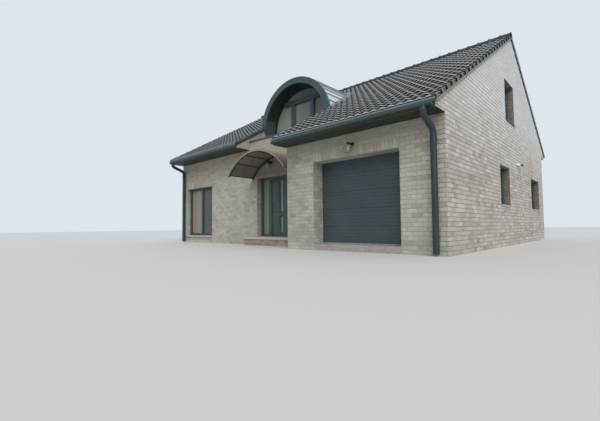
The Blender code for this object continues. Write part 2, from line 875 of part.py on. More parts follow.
def entrance():
    frame_front = front + entrance_setback
    frame_back = frame_front + entrance_frame_depth
    foot = house_floor_height + gap
    head = entrance_head - gap
    outer_left = entrance_left + gap
    outer_right = entrance_right - gap
    side_glass = (outer_left + entrance_jamb, outer_left + entrance_jamb + sidelight_width)
    door_space = (side_glass[1] + entrance_mullion, outer_right - entrance_jamb)
    inner_head = head - entrance_jamb
    loop = [
        (outer_left, foot),
        (door_space[0], foot),
        (door_space[0], inner_head),
        (door_space[1], inner_head),
        (door_space[1], foot),
        (outer_right, foot),
        (outer_right, head),
        (outer_left, head),
    ]
    hole = rectangle(side_glass, (foot + entrance_jamb, inner_head))
    frame_place = (0, (frame_front + frame_back) / 2, 0)
    frame = outline("entrance_frame", trim, [loop, hole], FACING_FRONT, frame_place, entrance_frame_depth)
    box(
        "sidelight_glass",
        glass,
        (side_glass[0] - pane_lap, side_glass[1] + pane_lap),
        (frame_back + gap, frame_back + gap + pane_thickness),
        (foot + entrance_jamb - pane_lap, inner_head + pane_lap),
    )

    # The leaf turns on its right edge, on hinges at its inner face, and opens into the house
    hinge_x = door_space[1] - door_clearance / 2
    hinge_y = frame_back + hinge_plate_clearance + hinge_radius
    hinge = bpy.data.objects.new("front_door_hinge", None)
    house.objects.link(hinge)
    hinge.location = (hinge_x, hinge_y, 0)
    leaf_width = door_space[1] - door_space[0] - 2 * door_clearance
    leaf_edge = -door_clearance / 2
    leaf_back = frame_back - hinge_y
    leaf_foot = foot + door_clearance
    leaf_head = inner_head - door_clearance
    strip = around(leaf_edge - leaf_width / 2, door_glass_width)
    lock = leaf_foot + door_lock_height
    leaf_loop = rectangle((leaf_edge - leaf_width, leaf_edge), (leaf_foot, leaf_head))
    low_pane = rectangle(strip, (leaf_foot + door_bottom_rail, lock - door_lock_rail / 2))
    high_pane = rectangle(strip, (lock + door_lock_rail / 2, leaf_head - door_top_rail))
    leaf = outline(
        "front_door",
        trim,
        [leaf_loop, low_pane, high_pane],
        FACING_FRONT,
        (0, leaf_back - door_thickness / 2, 0),
        door_thickness,
    )
    leaf.parent = hinge
    for share in hinge_share:
        split = leaf_foot + share * (leaf_head - leaf_foot)
        hinge_half(frame, hinge_x, hinge_y, frame_back, split - hinge_knuckle, 1)
        hinge_half(leaf, hinge_x, hinge_y, frame_back, split + gap, -1)
    pane = box(
        "front_door_glass",
        glass,
        (strip[0] - pane_lap, strip[1] + pane_lap),
        (leaf_back + gap, leaf_back + gap + pane_thickness),
        (leaf_foot + door_bottom_rail - pane_lap, leaf_head - door_top_rail + pane_lap),
    )
    pane.parent = hinge
    grip_x = leaf_edge - leaf_width + handle_edge_distance
    face_y = leaf_back - door_thickness - gap
    grip_y = face_y - handle_stand_off
    low = leaf_foot + handle_height
    high = low + handle_length
    handle = tube(
        "front_door_handle",
        bright_metal,
        [(grip_x, face_y, low), (grip_x, grip_y, low), (grip_x, grip_y, high), (grip_x, face_y, high)],
        handle_radius,
    )
    handle.parent = hinge


entrance()


# Garage door: one panel with a groove between its sections, held behind the doorway
def garage_door():
    foot = garage_floor_height + gap
    head = garage_opening_head + garage_door_lap
    face = garage_front + wall + gap
    back = face + garage_door_thickness
    section = (head - foot) / garage_door_sections
    loop = [(face, foot), (back, foot), (back, head), (face, head)]
    for step in range(garage_door_sections - 1, 0, -1):
        joint = foot + section * step
        loop += [
            (face, joint + section_groove),
            (face + section_groove, joint),
            (face, joint - section_groove),
        ]
    width = (garage_opening_left - garage_door_lap, garage_opening_right + garage_door_lap)
    outline("garage_door", door_steel, [loop], FACING_SIDE, (sum(width) / 2, 0, 0), width[1] - width[0])


garage_door()


# Windows: a frame in the wall, with its glass against the frame's inner face
def window(name, look_turn, u_range, v_range, frame_front, inward, bars):
    """A framed window. inward is +1 where the house lies toward plus on the wall's normal."""
    (u0, u1), (v0, v1) = u_range, v_range
    rim = rectangle((u0 + gap, u1 - gap), (v0 + gap, v1 - gap))
    loops = [rim]
    clear = (u0 + gap + frame_bar, u1 - gap - frame_bar)
    light = (clear[1] - clear[0] - (bars - 1) * frame_bar) / bars
    for bar in range(bars):
        low = clear[0] + bar * (light + frame_bar)
        loops.append(rectangle((low, low + light), (v0 + gap + frame_bar, v1 - gap - frame_bar)))
    centre = frame_front + inward * frame_depth / 2
    pane_centre = frame_front + inward * (frame_depth + gap + pane_thickness / 2)
    sheet = rectangle(
        (clear[0] - pane_lap, clear[1] + pane_lap), (v0 + frame_bar - pane_lap, v1 - frame_bar + pane_lap)
    )

    def at(depth):
        return (0, depth, 0) if look_turn == FACING_FRONT else (depth, 0, 0)

    outline(name + "_frame", trim, loops, look_turn, at(centre), frame_depth)
    outline(name + "_glass", glass, [sheet], look_turn, at(pane_centre), pane_thickness)


window(
    "front_window",
    FACING_FRONT,
    front_window_x,
    (front_window_sill, front_window_sill + front_window_height),
    front + front_window_setback,
    1,
    2,
)
for name, centre in rear_window_centres.items():
    heights = (rear_window_sill, rear_window_sill + rear_window_height)
    window(name, FACING_FRONT, around(centre, rear_window_width), heights, rear - frame_setback, -1, 2)
for name, (centre, width, sill, height) in right_windows.items():
    window(name, FACING_SIDE, around(centre, width), (sill, sill + height), right - frame_setback, -1, 1)
for name, (centre, width, sill, height) in left_windows.items():
    window(name, FACING_SIDE, around(centre, width), (sill, sill + height), left + frame_setback, 1, 1)

box(
    "front_window_sill",
    stone,
    (front_window_x[0] + gap, front_window_x[1] - gap),
    (front - sill_projection, front + wall),
    (front_window_sill - sill_thickness + gap, front_window_sill),
)


# Outside lamps
def globe_lamp(name, x, wall_face, height):
    """A wall plate with an arm and a round globe under its end."""
    face = wall_face - gap
    arm_start = (x, face - lamp_plate_thickness / 2, height)
    arm_length = lamp_reach + lamp_plate_thickness / 2
    arm_end = face - lamp_plate_thickness - lamp_reach
    holder_foot = (x, arm_end, height - lamp_drop / 2)
    plate_place = (x, face, height)
    plate = cylinder(
        name + "_arm",
        trim,
        lamp_plate_radius,
        plate_place,
        lamp_plate_thickness,
        FACING_FRONT,
        arc_steps,
    )
    for part, radius, start, length, turn in (
        ("_rod", lamp_arm_radius, arm_start, arm_length, FACING_FRONT),
        ("_holder", lamp_holder_radius, holder_foot, lamp_drop, PLAN),
    ):
        tool = cylinder(name + part, trim, radius, start, length, turn, arc_steps, cutters)
        combine(plate, tool, "UNION")
    smooth(plate)
    globe_top = height - lamp_drop / 2 - gap
    bpy.ops.mesh.primitive_uv_sphere_add(
        segments=arc_steps, ring_count=arc_steps // 2, radius=lamp_globe_radius,
        location=(x, arm_end, globe_top - lamp_globe_radius),
    )
    globe = bpy.context.object
    globe.name = name + "_globe"
    globe.data.materials.append(globe_glass)
    smooth(globe)
    place(globe)


globe_lamp("garage_lamp", right - garage_lamp_distance, garage_front, garage_lamp_height)
entrance_lamp_height = canopy_foot_height + canopy_rise - entrance_lamp_drop
globe_lamp("entrance_lamp", canopy_centre - entrance_lamp_offset, front, entrance_lamp_height)
box(
    "side_flood_light",
    white_paint,
    (right + gap, right + flood_depth),
    around(flood_position, flood_width),
    around(flood_centre_height, flood_height),
)
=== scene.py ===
"""Looks of the detached house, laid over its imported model. Metres, +Z up, front toward -Y."""
import math
import random

import bmesh
import bpy
from mathutils import Matrix, Vector


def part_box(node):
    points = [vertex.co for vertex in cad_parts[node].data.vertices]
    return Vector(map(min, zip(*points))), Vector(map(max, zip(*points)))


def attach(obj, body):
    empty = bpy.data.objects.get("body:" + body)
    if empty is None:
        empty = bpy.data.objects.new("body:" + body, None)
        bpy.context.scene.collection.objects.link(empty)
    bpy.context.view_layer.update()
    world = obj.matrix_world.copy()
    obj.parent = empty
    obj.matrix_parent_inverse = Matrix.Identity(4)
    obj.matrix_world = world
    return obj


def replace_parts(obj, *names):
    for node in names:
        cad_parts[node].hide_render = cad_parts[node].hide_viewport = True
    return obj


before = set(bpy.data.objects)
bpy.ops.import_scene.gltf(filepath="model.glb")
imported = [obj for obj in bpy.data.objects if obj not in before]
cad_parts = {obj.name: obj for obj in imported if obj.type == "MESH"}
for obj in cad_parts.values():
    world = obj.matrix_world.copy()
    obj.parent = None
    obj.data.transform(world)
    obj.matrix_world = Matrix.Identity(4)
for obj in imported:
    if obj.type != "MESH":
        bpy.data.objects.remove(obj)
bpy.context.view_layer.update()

# Where the house is seen from.
# The camera stands low in front of the garage's right corner and looks left along the front, on a pale
# floor under soft light. Its place and turn come from the picture's own perspective lines.
image_width = 600
sensor_width = 36.0
focal_pixels = 351.4
camera_place = Vector((8.922, -13.319, 0.623))
camera_turn_left = 0.749
camera_tilt_up = 0.047
camera_roll = -0.010

camera_data = bpy.data.cameras.new("street_camera")
camera_data.sensor_width = sensor_width
camera_data.lens = focal_pixels * sensor_width / image_width
camera_data.clip_start = 0.05
camera_data.clip_end = 400


def add(name, data):
    """A new object in the scene."""
    made = bpy.data.objects.new(name, data)
    bpy.context.scene.collection.objects.link(made)
    return made


camera = add("street_camera", camera_data)
bpy.context.scene.camera = camera

ahead = Vector(
    (
        -math.sin(camera_turn_left) * math.cos(camera_tilt_up),
        math.cos(camera_turn_left) * math.cos(camera_tilt_up),
        math.sin(camera_tilt_up),
    )
)
level_right = ahead.cross(Vector((0, 0, 1))).normalized()
level_up = level_right.cross(ahead)
camera_right = level_right * math.cos(camera_roll) + level_up * math.sin(camera_roll)
camera_up = level_up * math.cos(camera_roll) - level_right * math.sin(camera_roll)
camera.matrix_world = Matrix.Translation(camera_place) @ Matrix(
    (camera_right, camera_up, -ahead)
).transposed().to_4x4()

bpy.context.scene.view_settings.view_transform = "Standard"


def soft_sun(name, toward, strength, spread, colour):
    """A broad, soft light from one side."""
    lamp = bpy.data.lights.new(name, "SUN")
    lamp.energy = strength
    lamp.angle = spread
    lamp.color = colour
    add(name, lamp).rotation_euler = (-Vector(toward)).to_track_quat("-Z", "Y").to_euler()


soft_sun("soft_key", (0.66, -0.60, 0.85), 2.2, 0.9, (1.0, 0.99, 0.965))
soft_sun("soft_fill", (-0.7, 0.6, 0.8), 0.5, 1.2, (0.95, 0.97, 1.0))

sky = bpy.data.worlds.new("pale_sky")
sky.use_nodes = True
bpy.context.scene.world = sky
sky_nodes = sky.node_tree.nodes
sky_links = sky.node_tree.links
sky_light = sky_nodes["Background"]
sky_light.inputs["Color"].default_value = (0.80, 0.84, 0.90, 1)
sky_light.inputs["Strength"].default_value = 0.55
sky_seen = sky_nodes.new("ShaderNodeBackground")
sky_seen.inputs["Color"].default_value = (0.73, 0.79, 0.84, 1)
sky_seen.inputs["Strength"].default_value = 1.0
sky_paths = sky_nodes.new("ShaderNodeLightPath")
sky_mix = sky_nodes.new("ShaderNodeMixShader")
sky_links.new(sky_paths.outputs["Is Camera Ray"], sky_mix.inputs[0])
sky_links.new(sky_light.outputs[0], sky_mix.inputs[1])
sky_links.new(sky_seen.outputs[0], sky_mix.inputs[2])
sky_links.new(sky_mix.outputs[0], sky_nodes["World Output"].inputs["Surface"])

floor_reach = 90.0
floor_corners = [(x * floor_reach, y * floor_reach, 0) for x, y in ((-1, -1), (1, -1), (1, 1), (-1, 1))]
floor_mesh = bpy.data.meshes.new("pale_floor")
floor_mesh.from_pydata(floor_corners, [], [(0, 1, 2, 3)])
floor_look = bpy.data.materials.new("pale_floor")
floor_look.use_nodes = True
floor_shader = floor_look.node_tree.nodes["Principled BSDF"]
floor_shader.inputs["Base Color"].default_value = (0.60, 0.60, 0.59, 1)
floor_shader.inputs["Roughness"].default_value = 0.9
floor_mesh.materials.append(floor_look)
add("pale_floor", floor_mesh)


# Brick walls.
# Rough pale bricks laid in half bond over every outer wall, with upright ones over the doorways. Each brick
# stands a little proud of the mortar and has its own tone; the wall behind keeps the mortar's colour.
class Wire:
    """A value in a material's nodes, so that shader maths reads as plain sums."""

    def __init__(self, finish, socket):
        self.finish = finish
        self.socket = socket

    def maths(self, operation, first, second):
        return self.finish.node("ShaderNodeMath", {"operation": operation}, [first, second])

    def __add__(self, other):
        return self.maths("ADD", self, other)

    def __sub__(self, other):
        return self.maths("SUBTRACT", self, other)

    def __rsub__(self, other):
        return self.maths("SUBTRACT", other, self)

    def __mul__(self, other):
        return self.maths("MULTIPLY", self, other)

    __radd__ = __add__
    __rmul__ = __mul__

    def over(self, limit):
        return self.maths("GREATER_THAN", self, limit)

    def between(self, low, high):
        """Where the value stands from low to high, held to 0 and 1 beyond them."""
        return self.finish.node("ShaderNodeMapRange", {}, {"Value": self, "From Min": low, "From Max": high})


class Finish:
    """A material, built node by node around its Principled shader."""

    def __init__(self, name, colour, roughness, metallic=0.0, **fixed):
        self.material = bpy.data.materials.new(name)
        self.material.use_nodes = True
        self.nodes = self.material.node_tree.nodes
        self.links = self.material.node_tree.links
        self.shader = self.nodes["Principled BSDF"]
        self.shader.inputs["Base Color"].default_value = (*colour, 1)
        self.shader.inputs["Roughness"].default_value = roughness
        self.shader.inputs["Metallic"].default_value = metallic
        for label, value in fixed.items():
            self.shader.inputs[label.replace("_", " ")].default_value = value

    def node(self, kind, settings, inputs, output=0):
        """Add a node: its settings first, then its sockets by number or by name."""
        made = self.nodes.new(kind)
        for label, value in settings.items():
            if label == "stops":
                self.fill_ramp(made, value)
            else:
                setattr(made, label, value)
        pairs = inputs.items() if isinstance(inputs, dict) else enumerate(inputs)
        for key, value in pairs:
            self.feed(made.inputs[key], value)
        return Wire(self, made.outputs[output])

    def feed(self, socket, value):
        if isinstance(value, Wire):
            self.links.new(value.socket, socket)
        else:
            socket.default_value = value

    def fill_ramp(self, made, stops):
        ramp = made.color_ramp
        while len(ramp.elements) < len(stops):
            ramp.elements.new(1)
        for element, (place, colour) in zip(ramp.elements, stops):
            element.position = place
            element.color = (*colour, 1)

    def place(self):
        """The object's own coordinates."""
        return self.node("ShaderNodeTexCoord", {}, [], "Object")

    def noise(self, scale, detail=4.0, roughness=0.6):
        """A value from 0 to 1 that wanders over the surface."""
        inputs = {"Vector": self.place(), "Scale": scale, "Detail": detail, "Roughness": roughness}
        return self.node("ShaderNodeTexNoise", {}, inputs)

    def ramp(self, value, stops):
        return self.node("ShaderNodeValToRGB", {"stops": stops}, [value])

    def mix(self, share, first, second, blend="MIX"):
        """A mix of two colours."""
        settings = {"data_type": "RGBA", "blend_type": blend}
        return self.node("ShaderNodeMix", settings, {0: share, 6: first, 7: second}, 2)

    def own(self, name):
        """A value that the mesh carries itself."""
        return self.node("ShaderNodeAttribute", {"attribute_name": name}, [], "Fac")

    def along(self, axis):
        """One of the object's own coordinates."""
        return self.node("ShaderNodeSeparateXYZ", {}, [self.place()], axis)

    def set(self, label, value):
        self.feed(self.shader.inputs[label], value)
        return self

    def vary(self, label, pattern, dark, light, low=0.3, high=0.7):
        """Run a socket between two colours or two grey levels, as a pattern rises from low to high."""
        if not isinstance(dark, tuple):
            dark, light = (dark, dark, dark), (light, light, light)
        return self.set(label, self.ramp(pattern, [(low, dark), (high, light)]))

    def bump(self, height, distance):
        return self.set("Normal", self.node("ShaderNodeBump", {}, {"Height": height, "Distance": distance}))


def paint(piece, finish):
    """Give a piece one finish."""
    piece.data.materials.clear()
    piece.data.materials.append(finish.material)


def rgb(red, green, blue):
    """A colour as a node socket takes it."""
    return (red, green, blue, 1)


def new_piece(name, vertices, faces, look, slot, body="house", smooth_under=None):
    """A finished piece from its points and faces. Edges blunter than the angle are smoothed."""
    mesh = bpy.data.meshes.new(name)
    mesh.from_pydata([tuple(point) for point in vertices], [], faces)
    if smooth_under:
        mesh.shade_smooth()
        mesh.set_sharp_from_angle(angle=math.radians(smooth_under))
    made = add(name, mesh)
    paint(made, look)
    if slot:
        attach(made, body)
    return made


def carry(piece, name, values, domain="POINT"):
    """Write one value for each point or each face into a piece, for its finish to read."""
    piece.data.attributes.new(name, "FLOAT", domain).data.foreach_set("value", values)


def mortar_finish(name, dark, light):
    """Sandy mortar that varies between a dark and a light shade."""
    made = Finish(name, dark, 0.95)
    grain = made.noise(60, 6)
    made.vary("Base Color", grain, dark, light)
    return made.bump(grain, 0.003)


def brick_finish(name, shades, stain, fade, canopy_shade=None):
    """Rough cast brick: a shade for each brick, mottled, with fine pits, broad stains and a tint by height.

    Bricks under an arch get a painted brown shade: its middle, its height, its radius, its front.
    """
    made = Finish(name, shades[1], 0.92)
    tone = made.own("tone")
    shade = made.ramp(tone, [(step / (len(shades) - 1), colour) for step, colour in enumerate(shades)])
    mottle = made.noise(22, 5, 0.65)
    flecks = made.ramp(mottle, [(0.28, (0.55, 0.53, 0.52)), (0.72, (1.0, 1.0, 1.0))])
    shade = made.mix(0.55, shade, flecks, "MULTIPLY")
    broad = made.noise(0.9, 3, 0.6)
    stained = made.ramp(broad, [(0.45, (1.0, 1.0, 1.0)), (0.75, stain)])
    shade = made.mix(0.8, shade, stained, "MULTIPLY")
    # Tint by height: paler up the gables; on the front bricks a painted brown shade under the eaves.
    low, high, share, pale = fade
    height_tint_share = made.along("Z").between(low, high) * share
    shade = made.mix(height_tint_share, shade, rgb(*pale))
    if canopy_shade:
        middle, height, radius, foremost = canopy_shade
        across, rise = made.along("X") - middle, made.along("Z") - height
        outside = (across * across + rise * rise).over(radius**2)
        facing = made.along("Y").over(foremost) * (1 - made.along("Y").over(0))
        # Painted shade of the canopy: front-wall bricks inside its arch and above the door turn dark brown.
        under = (1 - outside) * made.along("Z").between(1.9, 2.5) * facing
        shade = made.mix(under * 0.75, shade, rgb(0.14, 0.105, 0.08))
    made.set("Base Color", shade)
    pits = made.noise(140, 6, 0.7)
    made.vary("Roughness", pits, 0.80, 0.97)
    return made.bump(mottle * 0.6 + pits * 0.4, 0.006)


course_height = 0.100
brick_length = 0.240
mortar_joint = 0.010
brick_relief = 0.005
brick_chamfer = 0.004
brick_seat = 0.003
smallest_cut = 0.018
soldier_height = 0.24


def without_hole(brick, hole):
    """What is left of an upright brick beside, over and under an opening."""
    (u0, v0, u1, v1), (a0, b0, a1, b1) = brick, hole
    if u1 <= a0 or u0 >= a1 or v1 <= b0 or v0 >= b1:
        return [brick]
    low, high = max(v0, b0), min(v1, b1)
    parts = [(u0, v0, u1, b0), (u0, b1, u1, v1), (u0, low, a0, high), (a1, low, u1, high)]
    return [(a, b, c, d) for a, b, c, d in parts if c - a > smallest_cut and d - b > smallest_cut]


def clip_to_line(polygon, start, end):
    """The part of a polygon to the left of a line."""

    def side(point):
        return (end[0] - start[0]) * (point[1] - start[1]) - (end[1] - start[1]) * (point[0] - start[0])

    kept = []
    for here, after in zip(polygon, polygon[1:] + polygon[:1]):
        now, then = side(here), side(after)
        if now >= 0:
            kept.append(here)
        if (now > 0 > then) or (now < 0 < then):
            share = now / (now - then)
            kept.append((here[0] + share * (after[0] - here[0]), here[1] + share * (after[1] - here[1])))
    return kept


def rectangle(u0, v0, u1, v1):
    """The outline of a rectangle between two corners."""
    return [(u0, v0), (u1, v0), (u1, v1), (u0, v1)]


def brick_polygons(outline, holes, unit, joint):
    """Bricks in half bond over an outline that bulges outward, less its rectangular openings."""
    length, height = unit
    low_u, high_u = min(u for u, v in outline), max(u for u, v in outline)
    low_v, high_v = min(v for u, v in outline), max(v for u, v in outline)
    for row in range(math.floor(low_v / height), math.ceil(high_v / height)):
        shift = (row % 2) * length / 2
        for step in range(math.floor((low_u - shift) / length), math.ceil((high_u - shift) / length)):
            u, v = step * length + shift, row * height
            bricks = [(u + joint / 2, v + joint / 2, u + length - joint / 2, v + height - joint / 2)]
            for hole in holes:
                bricks = [part for brick in bricks for part in without_hole(brick, hole)]
            for brick in bricks:
                shape = rectangle(*brick)
                for start, end in zip(outline, outline[1:] + outline[:1]):
                    shape = clip_to_line(shape, start, end)
                    if len(shape) < 3:
                        break
                if len(shape) > 2 and spread(shape, 0) > smallest_cut and spread(shape, 1) > smallest_cut:
                    yield shape


def spread(shape, axis):
    """How far a polygon reaches along one of its axes."""
    values = [point[axis] for point in shape]
    return max(values) - min(values)


class BrickFace:
    """Gathers bricks over several planes into one piece."""

    def __init__(self, name, seed):
        self.name = name
        self.dice = random.Random(seed)
        self.vertices = []
        self.faces = []
        self.tones = []

    def lay(self, origin, along, upward, outline, holes=(), unit=(brick_length, course_height)):
        """Lay bricks on the plane through origin. along x upward points out of the wall."""
        origin, along, upward = Vector(origin), Vector(along), Vector(upward)
        outward = along.cross(upward)
        for shape in brick_polygons(outline, holes, unit, mortar_joint):
            relief = brick_relief * self.dice.uniform(0.75, 1.15)
            centre = [(min(p[k] for p in shape) + max(p[k] for p in shape)) / 2 for k in (0, 1)]
            shrink = [1 - 2 * brick_chamfer / spread(shape, k) for k in (0, 1)]
            first = len(self.vertices)
            count = len(shape)
            for u, v in shape:
                self.vertices.append(origin + along * u + upward * v - outward * brick_seat)
            for u, v in shape:
                top_u = centre[0] + (u - centre[0]) * shrink[0]
                top_v = centre[1] + (v - centre[1]) * shrink[1]
                self.vertices.append(origin + along * top_u + upward * top_v + outward * relief)
            self.faces.append([first + count + k for k in range(count)])
            self.faces.append([first + k for k in reversed(range(count))])
            for k in range(count):
                after = (k + 1) % count
                self.faces.append([first + k, first + after, first + count + after, first + count + k])
            self.tones += [self.dice.random()] * (count + 2)

    def finish(self, look):
        """Make the piece, with one tone for each brick."""
        piece = new_piece(self.name, self.vertices, self.faces, look, "brick")
        carry(piece, "tone", self.tones, "FACE")


def span(node, axis):
    """The lowest and highest place of a CAD node along one axis."""
    low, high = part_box(node)
    return low[axis], high[axis]


def hole_of(node, axis):
    """The opening that a window's frame fills, seen along X (axis 0) or along Y (axis 1)."""
    low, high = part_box(node)
    other = 1 - axis
    return (low[other], low[2], high[other], high[2])


X, Y, Z = Vector((1, 0, 0)), Vector((0, 1, 0)), Vector((0, 0, 1))
left, right = span("left_gable_wall", 0)[0], span("right_gable_wall", 0)[1]
front = span("left_front_wall", 1)[0]
rear = span("rear_wall", 1)[1]
garage_front = span("garage_front_wall", 1)[0]
garage_left = span("garage_side_wall", 0)[0]
recess_left = span("balcony_cheek_wall", 0)[1]
main_eave = span("left_gable_wall", 1)[0]
garage_eave = span("right_gable_wall", 1)[0]
rear_eave = span("right_gable_wall", 1)[1]
ridge_height = span("right_gable_wall", 2)[1]
pitch = math.radians(30.08)
main_soffit = span("left_eaves", 2)[0]
garage_soffit = span("garage_eaves", 2)[0]
parapet_top = span("balcony_parapet", 2)[1]
attic_level = span("attic_floor", 2)[1]
wall_inner_front = span("balcony_parapet", 1)[1]
glazing_front = span("dormer_window_frame", 1)[0]


def roof_line(y):
    """How high the walls' sloping top stands at a distance from the ridge."""
    return ridge_height - math.tan(pitch) * abs(y)


def under_roof(near, far, foot):
    """The outline in Y and Z of a piece of wall from its foot up to the roof."""
    return [(near, foot), (far, foot), (far, roof_line(far)), (near, roof_line(near))]


mortar = mortar_finish("front_mortar", (0.30, 0.29, 0.25), (0.42, 0.405, 0.36))
gable_mortar = mortar_finish("gable_mortar", (0.22, 0.21, 0.19), (0.32, 0.305, 0.28))
gable_shades = [
    (0.42, 0.36, 0.32), (0.53, 0.50, 0.46), (0.58, 0.54, 0.50), (0.48, 0.43, 0.40), (0.63, 0.60, 0.56),
    (0.57, 0.51, 0.47), (0.70, 0.68, 0.64),
]
front_shades = [
    (0.42, 0.37, 0.31), (0.49, 0.485, 0.41), (0.53, 0.525, 0.445), (0.47, 0.435, 0.37), (0.56, 0.565, 0.485),
    (0.51, 0.515, 0.43), (0.60, 0.595, 0.51),
]
gable_stain = (0.80, 0.78, 0.76)
gable_brick = brick_finish("gable_brick", gable_shades, gable_stain, (2.2, 4.2, 0.62, (0.74, 0.745, 0.73)))
# The reveals take darker, browner copies of the gable bricks: painted shade inside the openings.
shaded_reveal_shades = [(red * 0.36, green * 0.37, blue * 0.31) for red, green, blue in gable_shades]
shaded_reveal_brick = brick_finish("shaded_reveal_brick", shaded_reveal_shades, gable_stain, (2.2, 4.2, 0.1, (0.30, 0.27, 0.24)))
canopy_low, canopy_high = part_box("canopy_frame")
canopy_middle = (canopy_low[0] + canopy_high[0]) / 2
canopy_half = (canopy_high[0] - canopy_low[0]) / 2
canopy_rise = 0.69
canopy_radius = (canopy_half**2 + canopy_rise**2) / (2 * canopy_rise)
canopy_axis = canopy_high[2] - canopy_radius
# Where the canopy's painted shade falls on the front wall: its middle, axis height, radius and front.
canopy_shade_area = (canopy_middle, canopy_axis, canopy_radius, garage_front + 0.05)
# The front bricks' height tint is a painted brown shade under the eaves.
front_brick = brick_finish(
    "front_brick", front_shades, (0.72, 0.70, 0.66), (2.3, 3.1, 0.42, (0.33, 0.27, 0.20)), canopy_shade_area
)
for name in (
    "rear_wall", "left_front_wall", "garage_front_wall", "garage_side_wall", "balcony_cheek_wall",
    "entrance_left_wall", "entrance_right_wall", "balcony_parapet",
):
    paint(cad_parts[name], mortar)
for name in ("right_gable_wall", "left_gable_wall"):
    paint(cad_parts[name], gable_mortar)


def gable_outlines(front_wall, front_eave, front_soffit):
    """A gable's face and its two kneelers, as outlines in Y and Z."""
    front_top, rear_top = roof_line(front_wall), roof_line(rear)
    main = [(front_wall, 0), (rear, 0), (rear, rear_top), (0, ridge_height), (front_wall, front_top)]
    return main, under_roof(front_eave, front_wall, front_soffit), under_roof(rear, rear_eave, main_soffit)


def seen_from_left(outline):
    """The same outline on a wall that faces left."""
    return [(-y, z) for y, z in reversed(outline)]


def wall_axis(outward):
    """The direction along a wall that faces outward: +X for the front and the rear, +Y for the gables."""
    return X if outward.y else Y


def window_reveal(bricks, hole, face, outward, depth):
    """Bricks round the sides and the head of an opening. face is a point on the wall's outer plane."""
    u0, v0, u1, v1 = hole
    across = wall_axis(outward)
    for place, turn in ((u0, 1), (u1, -1)):
        origin, along = face + across * place, -outward
        if along.cross(Z).dot(across) * turn < 0:
            origin, along = origin - outward * depth, outward
        bricks.lay(origin, along, Z, rectangle(0, v0, depth, v1))
    origin, along = face + Z * v1, -outward
    if along.cross(across).dot(Z) > 0:
        origin, along = origin - outward * depth, outward
    bricks.lay(origin, along, across, rectangle(0, u0, depth, u1), unit=(depth, course_height))


def right_gable():
    bricks = BrickFace("right_gable_bricks", 11)
    windows = ["upper_side_window_frame", "front_side_window_frame", "rear_side_window_frame"]
    holes = [hole_of(name, 0) for name in windows]
    for outline in gable_outlines(garage_front, garage_eave, garage_soffit):
        bricks.lay(X * right, Y, Z, outline, holes)
    bricks.finish(gable_brick)
    inside = BrickFace("right_gable_reveals", 17)
    depth = right - span(windows[0], 0)[1]
    for hole in holes:
        window_reveal(inside, hole, X * right, X, depth)
    inside.finish(shaded_reveal_brick)


def left_gable():
    bricks = BrickFace("left_gable_bricks", 12)
    hole = hole_of("left_attic_window_frame", 0)
    mirrored = (-hole[2], hole[1], -hole[0], hole[3])
    for outline in gable_outlines(front, main_eave, main_soffit):
        bricks.lay(X * left, -Y, Z, seen_from_left(outline), [mirrored])
    bricks.finish(gable_brick)
    inside = BrickFace("left_gable_reveals", 18)
    window_reveal(inside, hole, X * left, -X, span("left_attic_window_frame", 0)[0] - left)
    inside.finish(shaded_reveal_brick)


def rear_face():
    bricks = BrickFace("rear_wall_bricks", 13)
    windows = ["rear_left_window_frame", "rear_right_window_frame"]
    holes = [hole_of(name, 1) for name in windows]
    turned = [(-u1, v0, -u0, v1) for u0, v0, u1, v1 in holes]
    bricks.lay(Y * rear, -X, Z, rectangle(-right, 0, -left, main_soffit), turned)
    depth = rear - span(windows[0], 1)[1]
    for hole in holes:
        window_reveal(bricks, hole, Y * rear, Y, depth)
    bricks.finish(front_brick)


def soldier_course(bricks, u0, u1, head, y):
    """Upright bricks over a doorway or a window on a front wall."""
    bricks.lay((0, y, head), X, Z, rectangle(u0, 0, u1, soldier_height), unit=(course_height, soldier_height))


door_lap = 0.09
garage_door_low, garage_door_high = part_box("garage_door")
doorway_left = garage_door_low[0] + door_lap
doorway_right = garage_door_high[0] - door_lap
doorway_head = garage_door_high[2] - door_lap
below_ground = -1


def garage_face():
    bricks = BrickFace("garage_front_bricks", 14)
    hole = (doorway_left, below_ground, doorway_right, doorway_head + soldier_height)
    bricks.lay(Y * garage_front, X, Z, rectangle(garage_left, 0, right, garage_soffit), [hole])
    soldier_course(bricks, doorway_left, doorway_right, doorway_head, garage_front)
    opening = (doorway_left, span("garage_floor", 2)[1], doorway_right, doorway_head)
    window_reveal(bricks, opening, Y * garage_front, -Y, garage_door_low[1] - garage_front)
    kneeler = rectangle(span("right_gable_wall", 0)[0], garage_soffit, right, roof_line(garage_eave))
    bricks.lay(Y * garage_eave, X, Z, kneeler)
    bricks.finish(front_brick)


def recess_sides():
    """The walls beside the balcony, seen over the parapet and from the side."""
    bricks = BrickFace("balcony_side_bricks", 15)
    side = under_roof(garage_front, front, 0)
    over = under_roof(front, glazing_front, parapet_top)
    kneeler = under_roof(main_eave, front, main_soffit)
    inside = rectangle(wall_inner_front, attic_level, glazing_front, parapet_top)
    for outline in (side, over, inside):
        bricks.lay(X * garage_left, -Y, Z, seen_from_left(outline))
    for outline in (kneeler, over, inside):
        bricks.lay(X * recess_left, Y, Z, outline)
    bricks.finish(front_brick)


